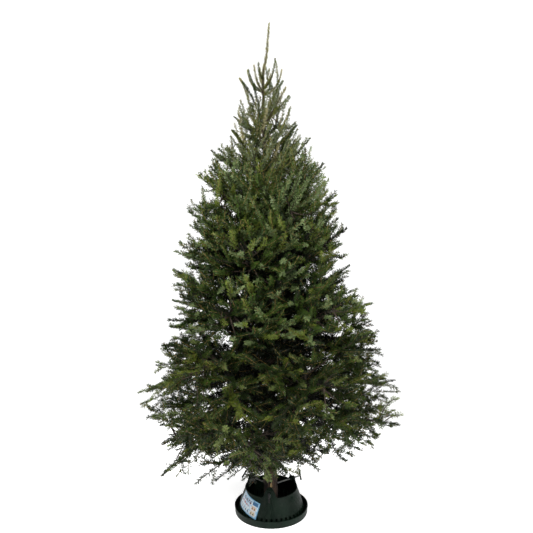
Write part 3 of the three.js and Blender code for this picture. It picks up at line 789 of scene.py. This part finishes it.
def trunk_bark(finish):
    """The trunk, with shallow plates, resin blisters and a collar at each whorl of boughs."""
    low = TRUNK["foot"]
    z = np.linspace(low, TRUNK["top"], BARK["rings"])[:, None]
    angle = circle(BARK["sides"])[None]
    radius = trunk_radius(z)
    size = radius / TRUNK["foot_radius"]
    plates = np.abs(ripple(angle, z, *BARK["plate_waves"])) - BARK["plate_level"]
    blisters = np.maximum(0, ripple(angle, z, *BARK["blister_waves"]) - BARK["blister_level"])
    whorls = sum(
        np.exp(-((z - (edge_low + edge_high) / 2) / BARK["collar_height"]) ** 2)
        for edge_low, edge_high in zip(LAYER_EDGES, LAYER_EDGES[1:])
    )
    relief = size * (BARK["plates"] * plates + BARK["blisters"] * blisters)
    relief = relief + BARK["collar"] * whorls * size
    reach = radius + relief * smooth(z, low, low + BARK["cut_edge"])
    points, index = grid(reach, angle, z)
    points[:, 0] += trunk_axis(points[:, 2])
    piece = make_mesh("trunk_bark", points, capped(index), crease=60 * DEGREE)
    dress(piece, finish, ["trunk"])


def bough_bark(finish):
    """The boughs of the lower layers, each from the trunk to the place where its mass begins."""
    heap = Heap()
    nodes = []
    s = np.linspace(0, 1, BOUGH_BARK["rings"])
    angle = circle(BOUGH_BARK["sides"])[None]
    for name, space in spaces():
        if space.layer >= LAYERS_WITH_BOUGHS:
            continue
        base = (space.low + space.high) / 2
        start = np.array([BOUGH_BARK["root"] * trunk_radius(base), space.azimuth, base])
        curve = grow_limb((start, np.array([space.start_radius, space.azimuth, base])))
        centres = np.array([curve(share) for share in s])
        across, out = directions(unit(np.gradient(centres, axis=0)))
        flare = BOUGH_BARK["flare"] * np.exp(-s / BOUGH_BARK["flare_run"])
        radius = lerp(BOUGH_RADIUS["root"], BOUGH_RADIUS["tip"], s) * (1 + flare)
        run = s[:, None] * BOUGH_BARK["wave_run"]
        relief = BOUGH_BARK["relief"] * ripple(angle, run, *BOUGH_BARK["waves"], space.key)
        reach = radius[:, None] + relief
        points = centres[:, None] + reach[..., None] * all_round(across, out, BOUGH_BARK["sides"])
        index = np.arange(reach.size).reshape(reach.shape)
        heap.add(points.reshape(-1, 3), capped(index))
        nodes.append(f"bough_{name}")
    dress(heap.make("bough_bark", crease=60 * DEGREE), finish, nodes)


def cut_scars(wood):
    """Pale oval cuts where low branches were taken off the foot of the trunk."""
    heap = Heap()
    for azimuth, z, high, wide in SCARS:
        outwards = np.array([math.cos(azimuth), math.sin(azimuth), 0])
        sideways = np.array([-math.sin(azimuth), math.cos(azimuth), 0])
        oval = [
            wide / 2 * math.cos(angle) * sideways + high / 2 * math.sin(angle) * np.array([0, 0, 1])
            for angle in circle(SCAR_SIDES)
        ]
        centre = np.array([trunk_axis(z), 0, z])
        points = np.array([
            [centre + outwards * (trunk_radius(z) + proud) + share * point for point in oval]
            for share, proud in SCAR_RINGS
        ])
        index = np.arange(points[..., 0].size).reshape(points.shape[:2])
        heap.add(points.reshape(-1, 3), capped(index))
    dress(heap.make("cut_scars", crease=40 * DEGREE), wood, [])


# ---------- stand ----------

TRAY = dict(
    radius=0.1775, wall=0.0035, floor=0.0035, height=0.033, rim=0.003, lip=0.0015, sides=144,
    foot_inset=0.0015, wall_draft=0.0012, rounding=0.0013,
    hole=0.004, plug=(0.0001, 0.0045), plug_rounding=0.0002, plug_sides=24,  # the plug fills the hole
)
TOWERS = 3
TOWER_PITCH = 2 * math.pi / TOWERS
FIRST_TOWER = 26 * DEGREE
SKIRT = dict(
    profile=[(0.163, 0.0038), (0.156, 0.030), (0.138, 0.085), (0.127, 0.112), (0.1215, 0.132),
             (0.1165, 0.150), (0.101, 0.161)],
    wall=0.0035, rows=34, least_row=0.002, soften=0.005, soften_steps=7,
    # Half a tower's width and the height where it is so wide, from its peak down to the sill.
    gable=[(0, 0.161), (0.010, 0.161), (0.022, 0.148), (0.029, 0.128), (0.034, 0.120)],
    gable_soften=0.0025, gable_halvings=26,
    columns=dict(tower=0.330, tower_step=0.0125, dimple=0.048, dimple_step=0.008, notch=0.002,
                 least=0.0015),
    strap=dict(foot=0.020, top=0.012, proud=0.004, low=0.022, high=0.138, rib=0.006, recess=0.0034,
               edge=0.0015, fade=0.004),
    boss=dict(radius=0.012, inner=0.102, outer=0.128, draft=0.001, rounding=0.0015, sides=36,
              play=0.0004),
    notch=dict(count=42, width=0.010, height=0.032, slack=0.0005),
    lip=dict(proud=0.0014, share=0.035),
    dimple=dict(azimuth=318 * DEGREE, height=0.106, radius=0.0052, depth=0.003, edge=0.0014,
                rows=0.05, row_step=0.0125),
)
SCREW = dict(
    height=0.126, tilt=5 * DEGREE, radius=0.0045, play=0.0002, sides=24,
    pitch=0.0025, thread=0.0005, rings_per_turn=6, point=0.45, point_length=0.006,
    handle_at=0.162, handle_length=0.044, handle_radius=0.0045, handle_sides=28,
    handle_axis=0.0003, handle_rounding=0.0022, socket=0.001,
    handle_shape=[(0.9, -1), (1, -0.8), (0.86, 0), (1, 0.8), (0.9, 1)],  # of its radius and half length
)
ROUNDED_SHARE = 0.45  # the most of an edge that a rounded corner takes
ARC_POINTS = 5
HANDLE_ROLLS = [11 * DEGREE, -52 * DEGREE, 0]  # from upright, for each screw
LABEL = dict(
    azimuth=219.5 * DEGREE, height=0.072, width=0.128, depth=0.070, turn=-11 * DEGREE,
    off=0.0008, thick=0.0006, columns=40, rows=28,
    lift=0.0015, lifted=(1.82, 2.0),  # one corner stands off the skirt
)


def turned(outline, sides):
    """A lathe about Z from a closed outline of radius and height that starts and ends off the axis."""
    outline = np.array(outline)
    points, index = grid(outline[:, :1], circle(sides), outline[:, 1:])
    return points, [ring_faces(np.vstack([index, index[:1]]))]


def rounded(corners, radius):
    """A closed outline with each corner replaced by a short arc."""
    corners = [np.array(corner, dtype=float) for corner in corners]
    outline = []
    for before, corner, after in zip(corners[-1:] + corners[:-1], corners, corners[1:] + corners[:1]):
        shorter = min(np.linalg.norm(before - corner), np.linalg.norm(after - corner))
        reach = min(radius, ROUNDED_SHARE * shorter)
        start = corner + reach * unit(before - corner)
        end = corner + reach * unit(after - corner)
        for t in np.linspace(0, 1, ARC_POINTS):
            outline.append((1 - t) ** 2 * start + 2 * t * (1 - t) * corner + t * t * end)
    return outline


def make_tray(finish):
    """The water tray: a low wall with a beaded rim round a flat floor."""
    outer = TRAY["radius"] - TRAY["lip"]
    inner = outer - TRAY["wall"]
    top, rim, floor, hole = TRAY["height"], TRAY["rim"], TRAY["floor"], TRAY["hole"]
    outline = [
        (hole, 0), (outer - TRAY["foot_inset"], 0), (outer, top - rim), (TRAY["radius"], top - rim),
        (TRAY["radius"], top), (inner, top), (inner - TRAY["wall_draft"], floor), (hole, floor),
    ]
    near, far = TRAY["plug"]
    edge = TRAY["plug_rounding"]
    plug = [(near, edge), (far, edge), (far, floor), (near, floor)]
    heap = Heap()
    heap.add(*turned(rounded(outline, TRAY["rounding"]), TRAY["sides"]))
    heap.add(*turned(rounded(plug, edge), TRAY["plug_sides"]))
    dress(heap.make("tray_shell", crease=40 * DEGREE), finish, ["stand_tray"])


def skirt_radius(z):
    """The skirt's outer radius at a height, with the corners of its profile softened."""
    radii, heights = zip(*SKIRT["profile"])
    shifts = np.linspace(-SKIRT["soften"], SKIRT["soften"], SKIRT["soften_steps"])
    return np.mean([np.interp(z + shift, heights, radii) for shift in shifts], axis=0)


def from_tower(azimuth):
    """How far an azimuth is from the middle of the nearest tower, either way round."""
    return (azimuth - FIRST_TOWER + TOWER_PITCH / 2) % TOWER_PITCH - TOWER_PITCH / 2


def skirt_top(azimuth):
    """The height of the skirt's edge: a gable on each tower and a level sill between them."""
    asides, heights = zip(*SKIRT["gable"])
    shifts = (-SKIRT["gable_soften"], 0, SKIRT["gable_soften"])
    low = np.full_like(azimuth, heights[-1])
    high = np.full_like(azimuth, heights[0])
    for _ in range(SKIRT["gable_halvings"]):
        z = (low + high) / 2
        aside = skirt_radius(z) * np.sin(np.abs(from_tower(azimuth)))
        edge = np.mean([np.interp(aside + shift, asides, heights) for shift in shifts], axis=0)
        low = np.where(z < edge, z, low)
        high = np.where(z < edge, high, z)
    return (low + high) / 2


def even_steps(reach, step):
    """Steps from as far below zero as the reach to as far above it, with the last step kept in."""
    past_last = 0.001
    return np.arange(-reach, reach + past_last, step)


def skirt_columns():
    """Azimuths of the skirt's columns: close together on towers, beside notches and at the dimple."""
    notch, dimple, columns = SKIRT["notch"], SKIRT["dimple"], SKIRT["columns"]
    middle = (np.arange(notch["count"]) + 0.5) * 2 * math.pi / notch["count"]
    half = notch["width"] / 2 / SKIRT["profile"][0][0]
    beyond = half + columns["notch"]
    sides = np.concatenate([middle + shift for shift in (-beyond, -half, half, beyond)])
    tower = even_steps(columns["tower"], columns["tower_step"])
    towers = [FIRST_TOWER + index * TOWER_PITCH + tower for index in range(TOWERS)]
    near = dimple["azimuth"] + even_steps(columns["dimple"], columns["dimple_step"])
    every = np.sort(np.concatenate([sides, *towers, near]) % (2 * math.pi))
    return every[np.concatenate([[True], np.diff(every) > columns["least"]])]


def make_skirt(finish):
    """The skirt: a thin bell with three towers, sills between them, ribs, bosses and a notched foot."""
    azimuth = skirt_columns()
    notch, strap, lip, dimple = SKIRT["notch"], SKIRT["strap"], SKIRT["lip"], SKIRT["dimple"]
    foot_radius, foot_height = SKIRT["profile"][0]
    sill = SKIRT["gable"][-1][1]
    pitch = 2 * math.pi / notch["count"]
    half_notch = notch["width"] / 2 / foot_radius + notch["slack"]
    in_notch = np.abs(azimuth % pitch - pitch / 2) < half_notch
    foot = foot_height + np.where(in_notch, notch["height"], 0)
    top = skirt_top(azimuth)
    dimple_share = (dimple["height"] - foot_height) / (sill - foot_height)
    share = np.sort(np.concatenate([
        np.linspace(0, 1, SKIRT["rows"]),
        [1 - lip["share"], 1 - lip["share"] / 2, 1 - lip["share"] / 4],
        dimple_share + even_steps(dimple["rows"], dimple["row_step"]),
    ]))
    share = share[np.concatenate([[True], np.diff(share) > SKIRT["least_row"]])]
    z = lerp(foot[:, None], top[:, None], share[None])
    radius = skirt_radius(z)
    aside = np.abs(radius * np.sin(from_tower(azimuth))[:, None])
    low, high, edge, fade = strap["low"], strap["high"], strap["edge"], strap["fade"]
    half = lerp(strap["foot"], strap["top"], (z - low) / (high - low))
    band = 1 - smooth(aside, half - edge, half)
    channel = 1 - smooth(aside, half - strap["rib"] - edge, half - strap["rib"])
    tall = smooth(z, low - fade, low) * (1 - smooth(z, high, high + fade))
    outside = radius + tall * (strap["proud"] * band - strap["recess"] * channel)
    beaded = smooth(share, 1 - lip["share"], 1 - lip["share"] / 2)[None]
    outside += lip["proud"] * beaded * (1 - band * tall)
    along = radius * (azimuth - dimple["azimuth"])[:, None]
    from_dimple = np.hypot(along, z - dimple["height"])
    pressed = 1 - smooth(from_dimple, dimple["radius"] - dimple["edge"], dimple["radius"])
    outside -= dimple["depth"] * pressed
    inside = radius - SKIRT["wall"]
    reach = np.concatenate([outside, inside[:, ::-1]], 1)
    height = np.concatenate([z, z[:, ::-1]], 1)
    points, index = grid(reach, azimuth[:, None], height)
    closed = np.vstack([index, index[:1]])
    heap = Heap()
    heap.add(points, [ring_faces(closed)[:, ::-1]])
    for tower in range(TOWERS):
        heap.add(*boss(FIRST_TOWER + tower * TOWER_PITCH))
    dress(heap.make("skirt_shell", crease=38 * DEGREE), finish, ["stand_skirt"])


def place_screw(points, turn):
    """Points along +X taken to where a clamp screw is: tilted up, raised and turned about Z."""
    x, y, z = points.T
    tilt = SCREW["tilt"]
    reach = x * math.cos(tilt) - z * math.sin(tilt)
    height = SCREW["height"] + x * math.sin(tilt) + z * math.cos(tilt)
    return np.stack([
        reach * math.cos(turn) - y * math.sin(turn),
        reach * math.sin(turn) + y * math.cos(turn),
        height,
    ], -1)


def boss(turn):
    """The threaded boss of one tower, a short ring that the clamp screw runs through."""
    size = SKIRT["boss"]
    bore = SCREW["radius"] + size["play"]
    outline = [
        (bore, size["inner"]), (bore, size["outer"]), (size["radius"] - size["draft"], size["outer"]),
        (size["radius"], size["inner"]),
    ]
    points, faces = turned(rounded(outline, size["rounding"]), size["sides"])
    return place_screw(points[:, ::-1], turn), [part[:, ::-1] for part in faces]


def thread_grid(start, end):
    """A screw thread along +X: rings whose radius follows the helix, pointed at the start."""
    x = np.arange(start, end, SCREW["pitch"] / SCREW["rings_per_turn"])[:, None]
    angle = circle(SCREW["sides"])[None]
    phase = (x / SCREW["pitch"] - angle / (2 * math.pi)) % 1
    crest = np.abs(2 * phase - 1)
    reach = SCREW["radius"] - SCREW["play"] - SCREW["thread"] * (1 - crest)
    reach = reach * np.minimum(1, SCREW["point"] + (x - start) / SCREW["point_length"])
    points, index = grid(reach, angle, x)
    return points[:, [2, 0, 1]], capped(index)


def make_screws(steel, grip):
    """Three clamp screws, tightened on the trunk, each with a black bar handle."""
    half, wide, axis = SCREW["handle_length"] / 2, SCREW["handle_radius"], SCREW["handle_axis"]
    outline = [(wide * across, half * along) for across, along in SCREW["handle_shape"]]
    outline = rounded([(axis, -half), *outline, (axis, half)], SCREW["handle_rounding"])
    for tower in range(TOWERS):
        turn = FIRST_TOWER + tower * TOWER_PITCH
        node = f"clamp_screw_{tower + 1}"
        lean = trunk_axis(SCREW["height"]) * math.cos(turn)
        start = lean + trunk_radius(SCREW["height"]) + SCREW["radius"] * math.sin(SCREW["tilt"])
        points, faces = thread_grid(start, SCREW["handle_at"] + SCREW["socket"])
        points = place_screw(points, turn)
        rod = make_mesh(f"screw_thread_{tower + 1}", points, faces, crease=50 * DEGREE)
        dress(rod, steel, [node])
        roll = HANDLE_ROLLS[tower]
        bar, faces = turned(outline, SCREW["handle_sides"])
        x, y, z = bar.T
        bar = np.stack([
            x + SCREW["handle_at"],
            y * math.cos(roll) + z * math.sin(roll),
            z * math.cos(roll) - y * math.sin(roll),
        ], -1)
        bar = place_screw(bar, turn)
        handle = make_mesh(f"screw_handle_{tower + 1}", bar, faces, crease=50 * DEGREE)
        dress(handle, grip, [node])


def make_label(finish):
    """A thin printed film laid on the skirt, with a plain pattern and no lettering."""
    u, v = np.meshgrid(np.linspace(0, 1, LABEL["columns"]), np.linspace(0, 1, LABEL["rows"]))
    flat_x = (u - 0.5) * LABEL["width"]
    flat_y = (v - 0.5) * LABEL["depth"]
    x = flat_x * math.cos(LABEL["turn"]) - flat_y * math.sin(LABEL["turn"])
    y = flat_x * math.sin(LABEL["turn"]) + flat_y * math.cos(LABEL["turn"])
    z = LABEL["height"] + y
    angle = LABEL["azimuth"] + x / skirt_radius(LABEL["height"])
    sheets = []
    lift = LABEL["lift"] * smooth(u + 1 - v, *LABEL["lifted"])
    for thickness in (0, LABEL["thick"]):
        radius = skirt_radius(z) + LABEL["off"] + thickness + lift
        sheets.append(np.stack([radius * np.cos(angle), radius * np.sin(angle), z], -1))
    points = np.concatenate([sheet.reshape(-1, 3) for sheet in sheets])
    index = np.arange(u.size).reshape(u.shape)
    upper = index + u.size
    front = ring_faces(upper, closed_rings=False)
    back = ring_faces(index, closed_rings=False)[:, ::-1]
    rim = np.concatenate([index[0], index[1:, -1], index[-1, -2::-1], index[-2:0:-1, 0]])
    after = np.roll(rim, -1)
    edge = np.stack([rim, after, after + u.size, rim + u.size], -1)
    piece = make_mesh("label_film", points, [front, back, edge], crease=40 * DEGREE)
    layer = piece.data.uv_layers.new(name="film")
    corner = np.zeros(len(piece.data.loops), dtype=np.int32)
    piece.data.loops.foreach_get("vertex_index", corner)
    place = np.stack([u.ravel(), v.ravel()], -1)[corner % u.size]
    layer.data.foreach_set("uv", place.astype(np.float32).ravel())
    dress(piece, finish, ["stand_label"])


# ---------- finishes ----------


class Value:
    """A number socket that plain arithmetic can be written with; each sum adds a Math node."""

    def __init__(self, finish, socket):
        self.finish = finish
        self.socket = socket

    def math(self, operation, *operands):
        return self.finish.add("ShaderNodeMath", {"operation": operation}, dict(enumerate(operands)))

    def __add__(self, other):
        return self.math("ADD", self, other)

    def __radd__(self, other):
        return self.math("ADD", other, self)

    def __sub__(self, other):
        return self.math("SUBTRACT", self, other)

    def __rsub__(self, other):
        return self.math("SUBTRACT", other, self)

    def __mul__(self, other):
        return self.math("MULTIPLY", self, other)

    def __rmul__(self, other):
        return self.math("MULTIPLY", other, self)

    def __lt__(self, other):
        return self.math("LESS_THAN", self, other)

    def __gt__(self, other):
        return self.math("GREATER_THAN", self, other)

    def __abs__(self):
        return self.math("ABSOLUTE", self)

    def __mod__(self, other):
        return self.math("FLOORED_MODULO", self, other)


def linear(shade):
    """A linear colour from three display values, each from 0 to 1; a link stays as it is."""
    if isinstance(shade, Value):
        return shade
    parts = [v / 12.92 if v <= 0.04045 else ((v + 0.055) / 1.055) ** 2.4 for v in shade]
    return (*parts, 1.0)


class Finish:
    """A material with one Principled shader, and the nodes that feed it."""

    def __init__(self, name, constants=None):
        self.material = bpy.data.materials.new(name)
        self.material.use_nodes = True
        self.tree = self.material.node_tree
        self.shader = self.tree.nodes["Principled BSDF"]
        for socket, value in (constants or {}).items():
            self.shader.inputs[socket].default_value = value

    def add(self, kind, settings=None, sockets=None, output=0):
        """Any node: its settings go in first, then the values or links of its sockets."""
        node = self.tree.nodes.new(kind)
        for name, value in (settings or {}).items():
            setattr(node, name, value)
        for name, value in (sockets or {}).items():
            self.feed(node.inputs[name], value)
        return Value(self, node.outputs[output])

    def feed(self, socket, value):
        if isinstance(value, Value):
            self.tree.links.new(value.socket, socket)
        else:
            socket.default_value = value

    def set(self, name, value):
        self.feed(self.shader.inputs[name], value)

    def place(self):
        return self.add("ShaderNodeTexCoord", output="Object")

    def stretched(self, x, y, z):
        """The place on the piece, scaled along each axis."""
        sockets = {0: self.place(), 1: (x, y, z)}
        return self.add("ShaderNodeVectorMath", {"operation": "MULTIPLY"}, sockets)

    def noise(self, scale, detail=3.0, vector=None):
        sockets = {"Vector": vector or self.place(), "Scale": scale, "Detail": detail}
        return self.add("ShaderNodeTexNoise", None, sockets)

    def spots(self, scale):
        return self.add("ShaderNodeTexVoronoi", None, {"Vector": self.place(), "Scale": scale})

    def between(self, value, low, high):
        """A value taken from 0 at low to 1 at high, held at both ends."""
        sockets = {"Value": value, "From Min": low, "From Max": high}
        return self.add("ShaderNodeMapRange", {"clamp": True}, sockets)

    def mix(self, share, first, second):
        """A share of the second colour over the first, each a link or three display values."""
        sockets = {0: share, 6: linear(first), 7: linear(second)}
        return self.add("ShaderNodeMix", {"data_type": "RGBA"}, sockets, 2)

    def bump(self, height, distance):
        sockets = {"Height": height, "Distance": distance, "Strength": 1.0}
        self.set("Normal", self.add("ShaderNodeBump", None, sockets))

    def patches(self, scale, detail, edges, dark, light):
        """Two colours that run into each other in soft patches."""
        share = self.between(self.noise(scale, detail), *edges)
        self.set("Base Color", self.mix(share, dark, light))
        return self.material


SOFT_EDGES = (0.35, 0.65)  # of patches
GROUP_TONES = dict(  # the low group is darkest: painted shade under the crown
    low=(0.88, 0.91, 0.66),
    middle=(1.00, 1.05, 0.90),
    top=(0.98, 0.98, 0.93),
)
NEEDLE_COLOURS = dict(
    # inner: painted shade, a near-black green for the needles deep in the crown
    inner=((0.04, 0.06, 0.02), (0.07, 0.10, 0.03)),
    deep=((0.10, 0.15, 0.05), (0.15, 0.21, 0.07)),
    mid=((0.18, 0.24, 0.09), (0.25, 0.31, 0.13)),
    silver=((0.34, 0.39, 0.27), (0.46, 0.50, 0.38)),
    fresh=((0.31, 0.35, 0.15), (0.40, 0.43, 0.20)),
    pale=((0.52, 0.52, 0.38), (0.66, 0.64, 0.50)),
)


def needle_finish(name, group):
    """Waxy needles: a base colour for each kind, a little lighter here and there in the crown."""
    darker, lighter = (np.array(shade) * GROUP_TONES[group] for shade in NEEDLE_COLOURS[name])
    finish = Finish(f"needles_{name}_{group}", {"Roughness": 0.48, "Specular IOR Level": 0.22})
    return finish.patches(24.0, 2.0, SOFT_EDGES, darker, lighter)


def limb_wood_finish():
    """Grey-brown bark of the older twigs."""
    finish = Finish("limb_wood", {"Roughness": 0.85})
    return finish.patches(90.0, 3.0, SOFT_EDGES, (0.15, 0.11, 0.08), (0.25, 0.20, 0.15))


def shoot_bark_finish():
    """The yellow-brown bark of young shoots."""
    finish = Finish("shoot_bark", {"Roughness": 0.7})
    return finish.patches(25.0, 3.0, SOFT_EDGES, (0.45, 0.33, 0.17), (0.52, 0.46, 0.24))


def bud_finish():
    """Red-brown resinous bud scales."""
    finish = Finish("bud_scales", {"Roughness": 0.35, "Coat Weight": 0.3})
    return finish.patches(60.0, 3.0, (0.4, 0.6), (0.36, 0.22, 0.12), (0.50, 0.38, 0.20))


def bark_finish():
    """Fir bark: grey-brown, with dark cracks that run up the stem, pale blisters and a green bloom."""
    finish = Finish("trunk_bark", {"Roughness": 0.9})
    grain = finish.noise(22.0, 6.0, finish.stretched(4.0, 4.0, 0.8))
    cracks = finish.between(grain, 0.42, 0.56)
    blisters = 1 - finish.between(finish.spots(140.0), 0.12, 0.3)
    bloom = finish.between(finish.noise(9.0), 0.55, 0.7)
    ground = finish.mix(cracks, (0.10, 0.075, 0.055), (0.26, 0.20, 0.155))
    bloomed = finish.mix(bloom * 0.45, ground, (0.24, 0.25, 0.19))
    finish.set("Base Color", finish.mix(blisters * 0.35, bloomed, (0.36, 0.31, 0.25)))
    finish.set("Roughness", 0.95 - 0.2 * blisters)
    finish.bump(cracks + 0.5 * blisters + 0.4 * finish.noise(400.0), 0.0012)
    return finish.material


def cut_wood_finish():
    """Fresh-cut wood: pale, with darker orange-brown growth rings."""
    finish = Finish("cut_wood", {"Roughness": 0.75})
    rings = finish.between(finish.noise(300.0, 2.0, finish.stretched(1.0, 1.0, 0.2)), 0.4, 0.6)
    finish.set("Base Color", finish.mix(rings, (0.55, 0.42, 0.26), (0.72, 0.64, 0.46)))
    finish.bump(rings, 0.0003)
    return finish.material


def stand_finish(name, dark, light):
    """Moulded polypropylene: a satin face, faint flow streaks, fine scuffs and settled dust."""
    finish = Finish(name, {"Specular IOR Level": 0.1})
    streaks = finish.noise(18.0, 3.0, finish.stretched(1.0, 1.0, 0.15))
    dust = finish.between(finish.noise(55.0, 5.0), 0.5, 0.8)
    scuffs = finish.between(finish.noise(260.0, 2.0, finish.stretched(1.0, 0.2, 1.0)), 0.62, 0.72)
    ground = finish.mix(finish.between(streaks, 0.3, 0.7), dark, light)
    dusty = finish.mix(dust * 0.025, ground, (0.55, 0.56, 0.52))
    finish.set("Base Color", finish.mix(scuffs * 0.03, dusty, (0.45, 0.5, 0.46)))
    finish.set("Roughness", 0.46 + 0.16 * dust + 0.1 * scuffs)
    finish.bump(finish.noise(700.0, 2.0) + 0.3 * scuffs, 0.00015)
    return finish.material


def steel_finish():
    """Zinc-plated steel, dull, with a spangle and darker spots."""
    finish = Finish("zinc_plated_steel", {"Metallic": 1.0})
    spangle = finish.noise(500.0, 2.0)
    spots = finish.between(finish.noise(120.0), 0.58, 0.7)
    bright = finish.mix(spangle, (0.42, 0.43, 0.43), (0.58, 0.58, 0.57))
    finish.set("Base Color", finish.mix(spots * 0.5, bright, (0.42, 0.38, 0.33)))
    finish.set("Roughness", 0.3 + 0.2 * spangle)
    return finish.material


def label_finish():
    """Printed film with no lettering: a blue rim and patch, red-brown dabs, tiles and plain firs."""
    finish = Finish("printed_film", {"Coat Weight": 0.25})
    film = finish.add("ShaderNodeUVMap", {"uv_map": "film"})
    split = {"Vector": film}
    u = finish.add("ShaderNodeSeparateXYZ", None, split, "X")
    v = finish.add("ShaderNodeSeparateXYZ", None, split, "Y")
    grain = finish.noise(900.0, 2.0)
    dabs = finish.noise(150.0, 1.0)

    def within(left, right, low, high):
        return (u > left) * (u < right) * (v > low) * (v < high)

    def row(left, right, low, high, count, width):
        """Plain firs side by side, each a triangle."""
        rise = (v - low) * (1 / (high - low))
        across = abs((u - left) * (count / (right - left)) % 1 - 0.5)
        return within(left, right, low, high) * (across < width * (1 - rise))

    face = finish.mix(finish.between(dabs, 0.35, 0.65), (0.46, 0.60, 0.70), (0.70, 0.72, 0.72))
    red = finish.between(dabs, 0.44, 0.52)
    marks = [  # where, as shares of the film, and the colour
        (within(0.10, 0.64, 0.66, 0.84) * red, (0.30, 0.12, 0.11)),
        (within(0.08, 0.56, 0.44, 0.56) * red, (0.52, 0.27, 0.24)),
        (within(0.70, 0.95, 0.72, 0.94), (0.12, 0.30, 0.44)),
        (within(0.70, 0.90, 0.42, 0.66), (0.66, 0.58, 0.50)),
        (within(0.70, 0.90, 0.12, 0.36), (0.68, 0.63, 0.55)),
        (row(0.70, 0.90, 0.46, 0.62, 2, 0.36), (0.36, 0.26, 0.22)),
        (row(0.70, 0.90, 0.16, 0.32, 2, 0.36), (0.30, 0.28, 0.20)),
        (row(0.06, 0.64, 0.12, 0.34, 5, 0.26), (0.16, 0.15, 0.12)),
        ((u < 0.035) + (u > 0.965) + (v < 0.055) + (v > 0.945), (0.37, 0.55, 0.66)),
    ]
    for where, shade in marks:
        face = finish.mix(where, face, shade)
    finish.set("Base Color", face)
    finish.set("Roughness", 0.32 + 0.1 * grain)
    finish.bump(grain, 0.00005)
    return finish.material


def floor_finish():
    """A plain pale studio floor."""
    finish = Finish("studio_floor", {
        "Roughness": 0.9, "Specular IOR Level": 0.1,
        "Emission Strength": 0.65, "Emission Color": (1, 1, 1, 1),
    })
    tone = finish.noise(3.0)
    finish.set("Base Color", finish.mix(tone, (0.975, 0.975, 0.975), (0.985, 0.985, 0.985)))
    return finish.material


# ---------- studio ----------

CAMERA = dict(place=(-0.023, -2.696, 1.426), pitch=85 * DEGREE, lens=38.93, sensor=36)
SOFT_LIGHT = 0.35  # how bright the white surroundings are as a light
BACKDROP = 1.1  # how bright they are behind the tree
LIGHTS = [  # name, place, aimed at, width, power
    ("key_light", (-1.6, -3.2, 3.4), (0, 0, 1.0), 2.2, 230),
    ("fill_light", (2.6, -2.6, 1.9), (0, 0, 0.9), 2.0, 100),
    ("top_light", (0.2, 0.9, 4.2), (0, 0, 1.2), 2.6, 160),
]


def aim(thing, target):
    """Turns a light so that its face looks at a target."""
    direction = np.array(target) - np.array(thing.location)
    level = math.hypot(direction[0], direction[1])
    thing.rotation_euler = (
        math.atan2(level, -direction[2]), 0, math.atan2(direction[1], direction[0]) - math.pi / 2,
    )


def make_studio():
    """White surroundings, three soft lights and the camera."""
    scene = bpy.context.scene
    scene.view_settings.view_transform = "Standard"
    world = bpy.data.worlds.new("soft_white")
    scene.world = world
    world.use_nodes = True
    background = world.node_tree.nodes["Background"]
    background.inputs["Color"].default_value = (1, 1, 1, 1)
    # The backdrop shows as plain white, and lights the tree less than that.
    nodes, links = world.node_tree.nodes, world.node_tree.links
    strength = nodes.new("ShaderNodeMath")
    strength.operation = "MULTIPLY_ADD"
    strength.inputs[1].default_value = BACKDROP - SOFT_LIGHT
    strength.inputs[2].default_value = SOFT_LIGHT
    links.new(nodes.new("ShaderNodeLightPath").outputs["Is Camera Ray"], strength.inputs[0])
    links.new(strength.outputs[0], background.inputs["Strength"])
    for name, place, target, width, power in LIGHTS:
        light = bpy.data.lights.new(name, "AREA")
        light.size = width
        light.energy = power
        holder = bpy.data.objects.new(name, light)
        holder.location = place
        aim(holder, target)
        scene.collection.objects.link(holder)
    camera = bpy.data.cameras.new("camera")
    camera.lens = CAMERA["lens"]
    camera.sensor_width = CAMERA["sensor"]
    holder = bpy.data.objects.new("camera", camera)
    holder.location = CAMERA["place"]
    holder.rotation_euler = (CAMERA["pitch"], 0, 0)
    scene.collection.objects.link(holder)
    scene.camera = holder


FLOOR = dict(rings=[0.5, 0.9, 1.4], below=0.0005, sides=64)


def make_floor():
    """A wide flat disc under the stand."""
    rings = np.array(FLOOR["rings"])[:, None]
    points, index = grid(rings, circle(FLOOR["sides"]), -FLOOR["below"])
    floor = make_mesh("floor", points, [ring_faces(index)[:, ::-1], index[:1]])
    floor.data.materials.append(floor_finish())


# ---------- the whole scene ----------

make_studio()
make_floor()

bark = bark_finish()
finishes = dict(limb_wood=limb_wood_finish(), shoot_bark=shoot_bark_finish(), buds=bud_finish())
skirt_plastic = stand_finish("skirt_plastic", (0.017, 0.058, 0.033), (0.034, 0.098, 0.060))
tray_plastic = stand_finish("tray_plastic", (0.024, 0.070, 0.045), (0.044, 0.110, 0.074))
black_plastic = stand_finish("black_plastic", (0.05, 0.05, 0.05), (0.09, 0.09, 0.09))

trunk_bark(bark)
bough_bark(bark)
cut_scars(cut_wood_finish())
make_foliage(finishes)
make_tray(tray_plastic)
make_skirt(skirt_plastic)
make_screws(steel_finish(), black_plastic)
make_label(label_finish())
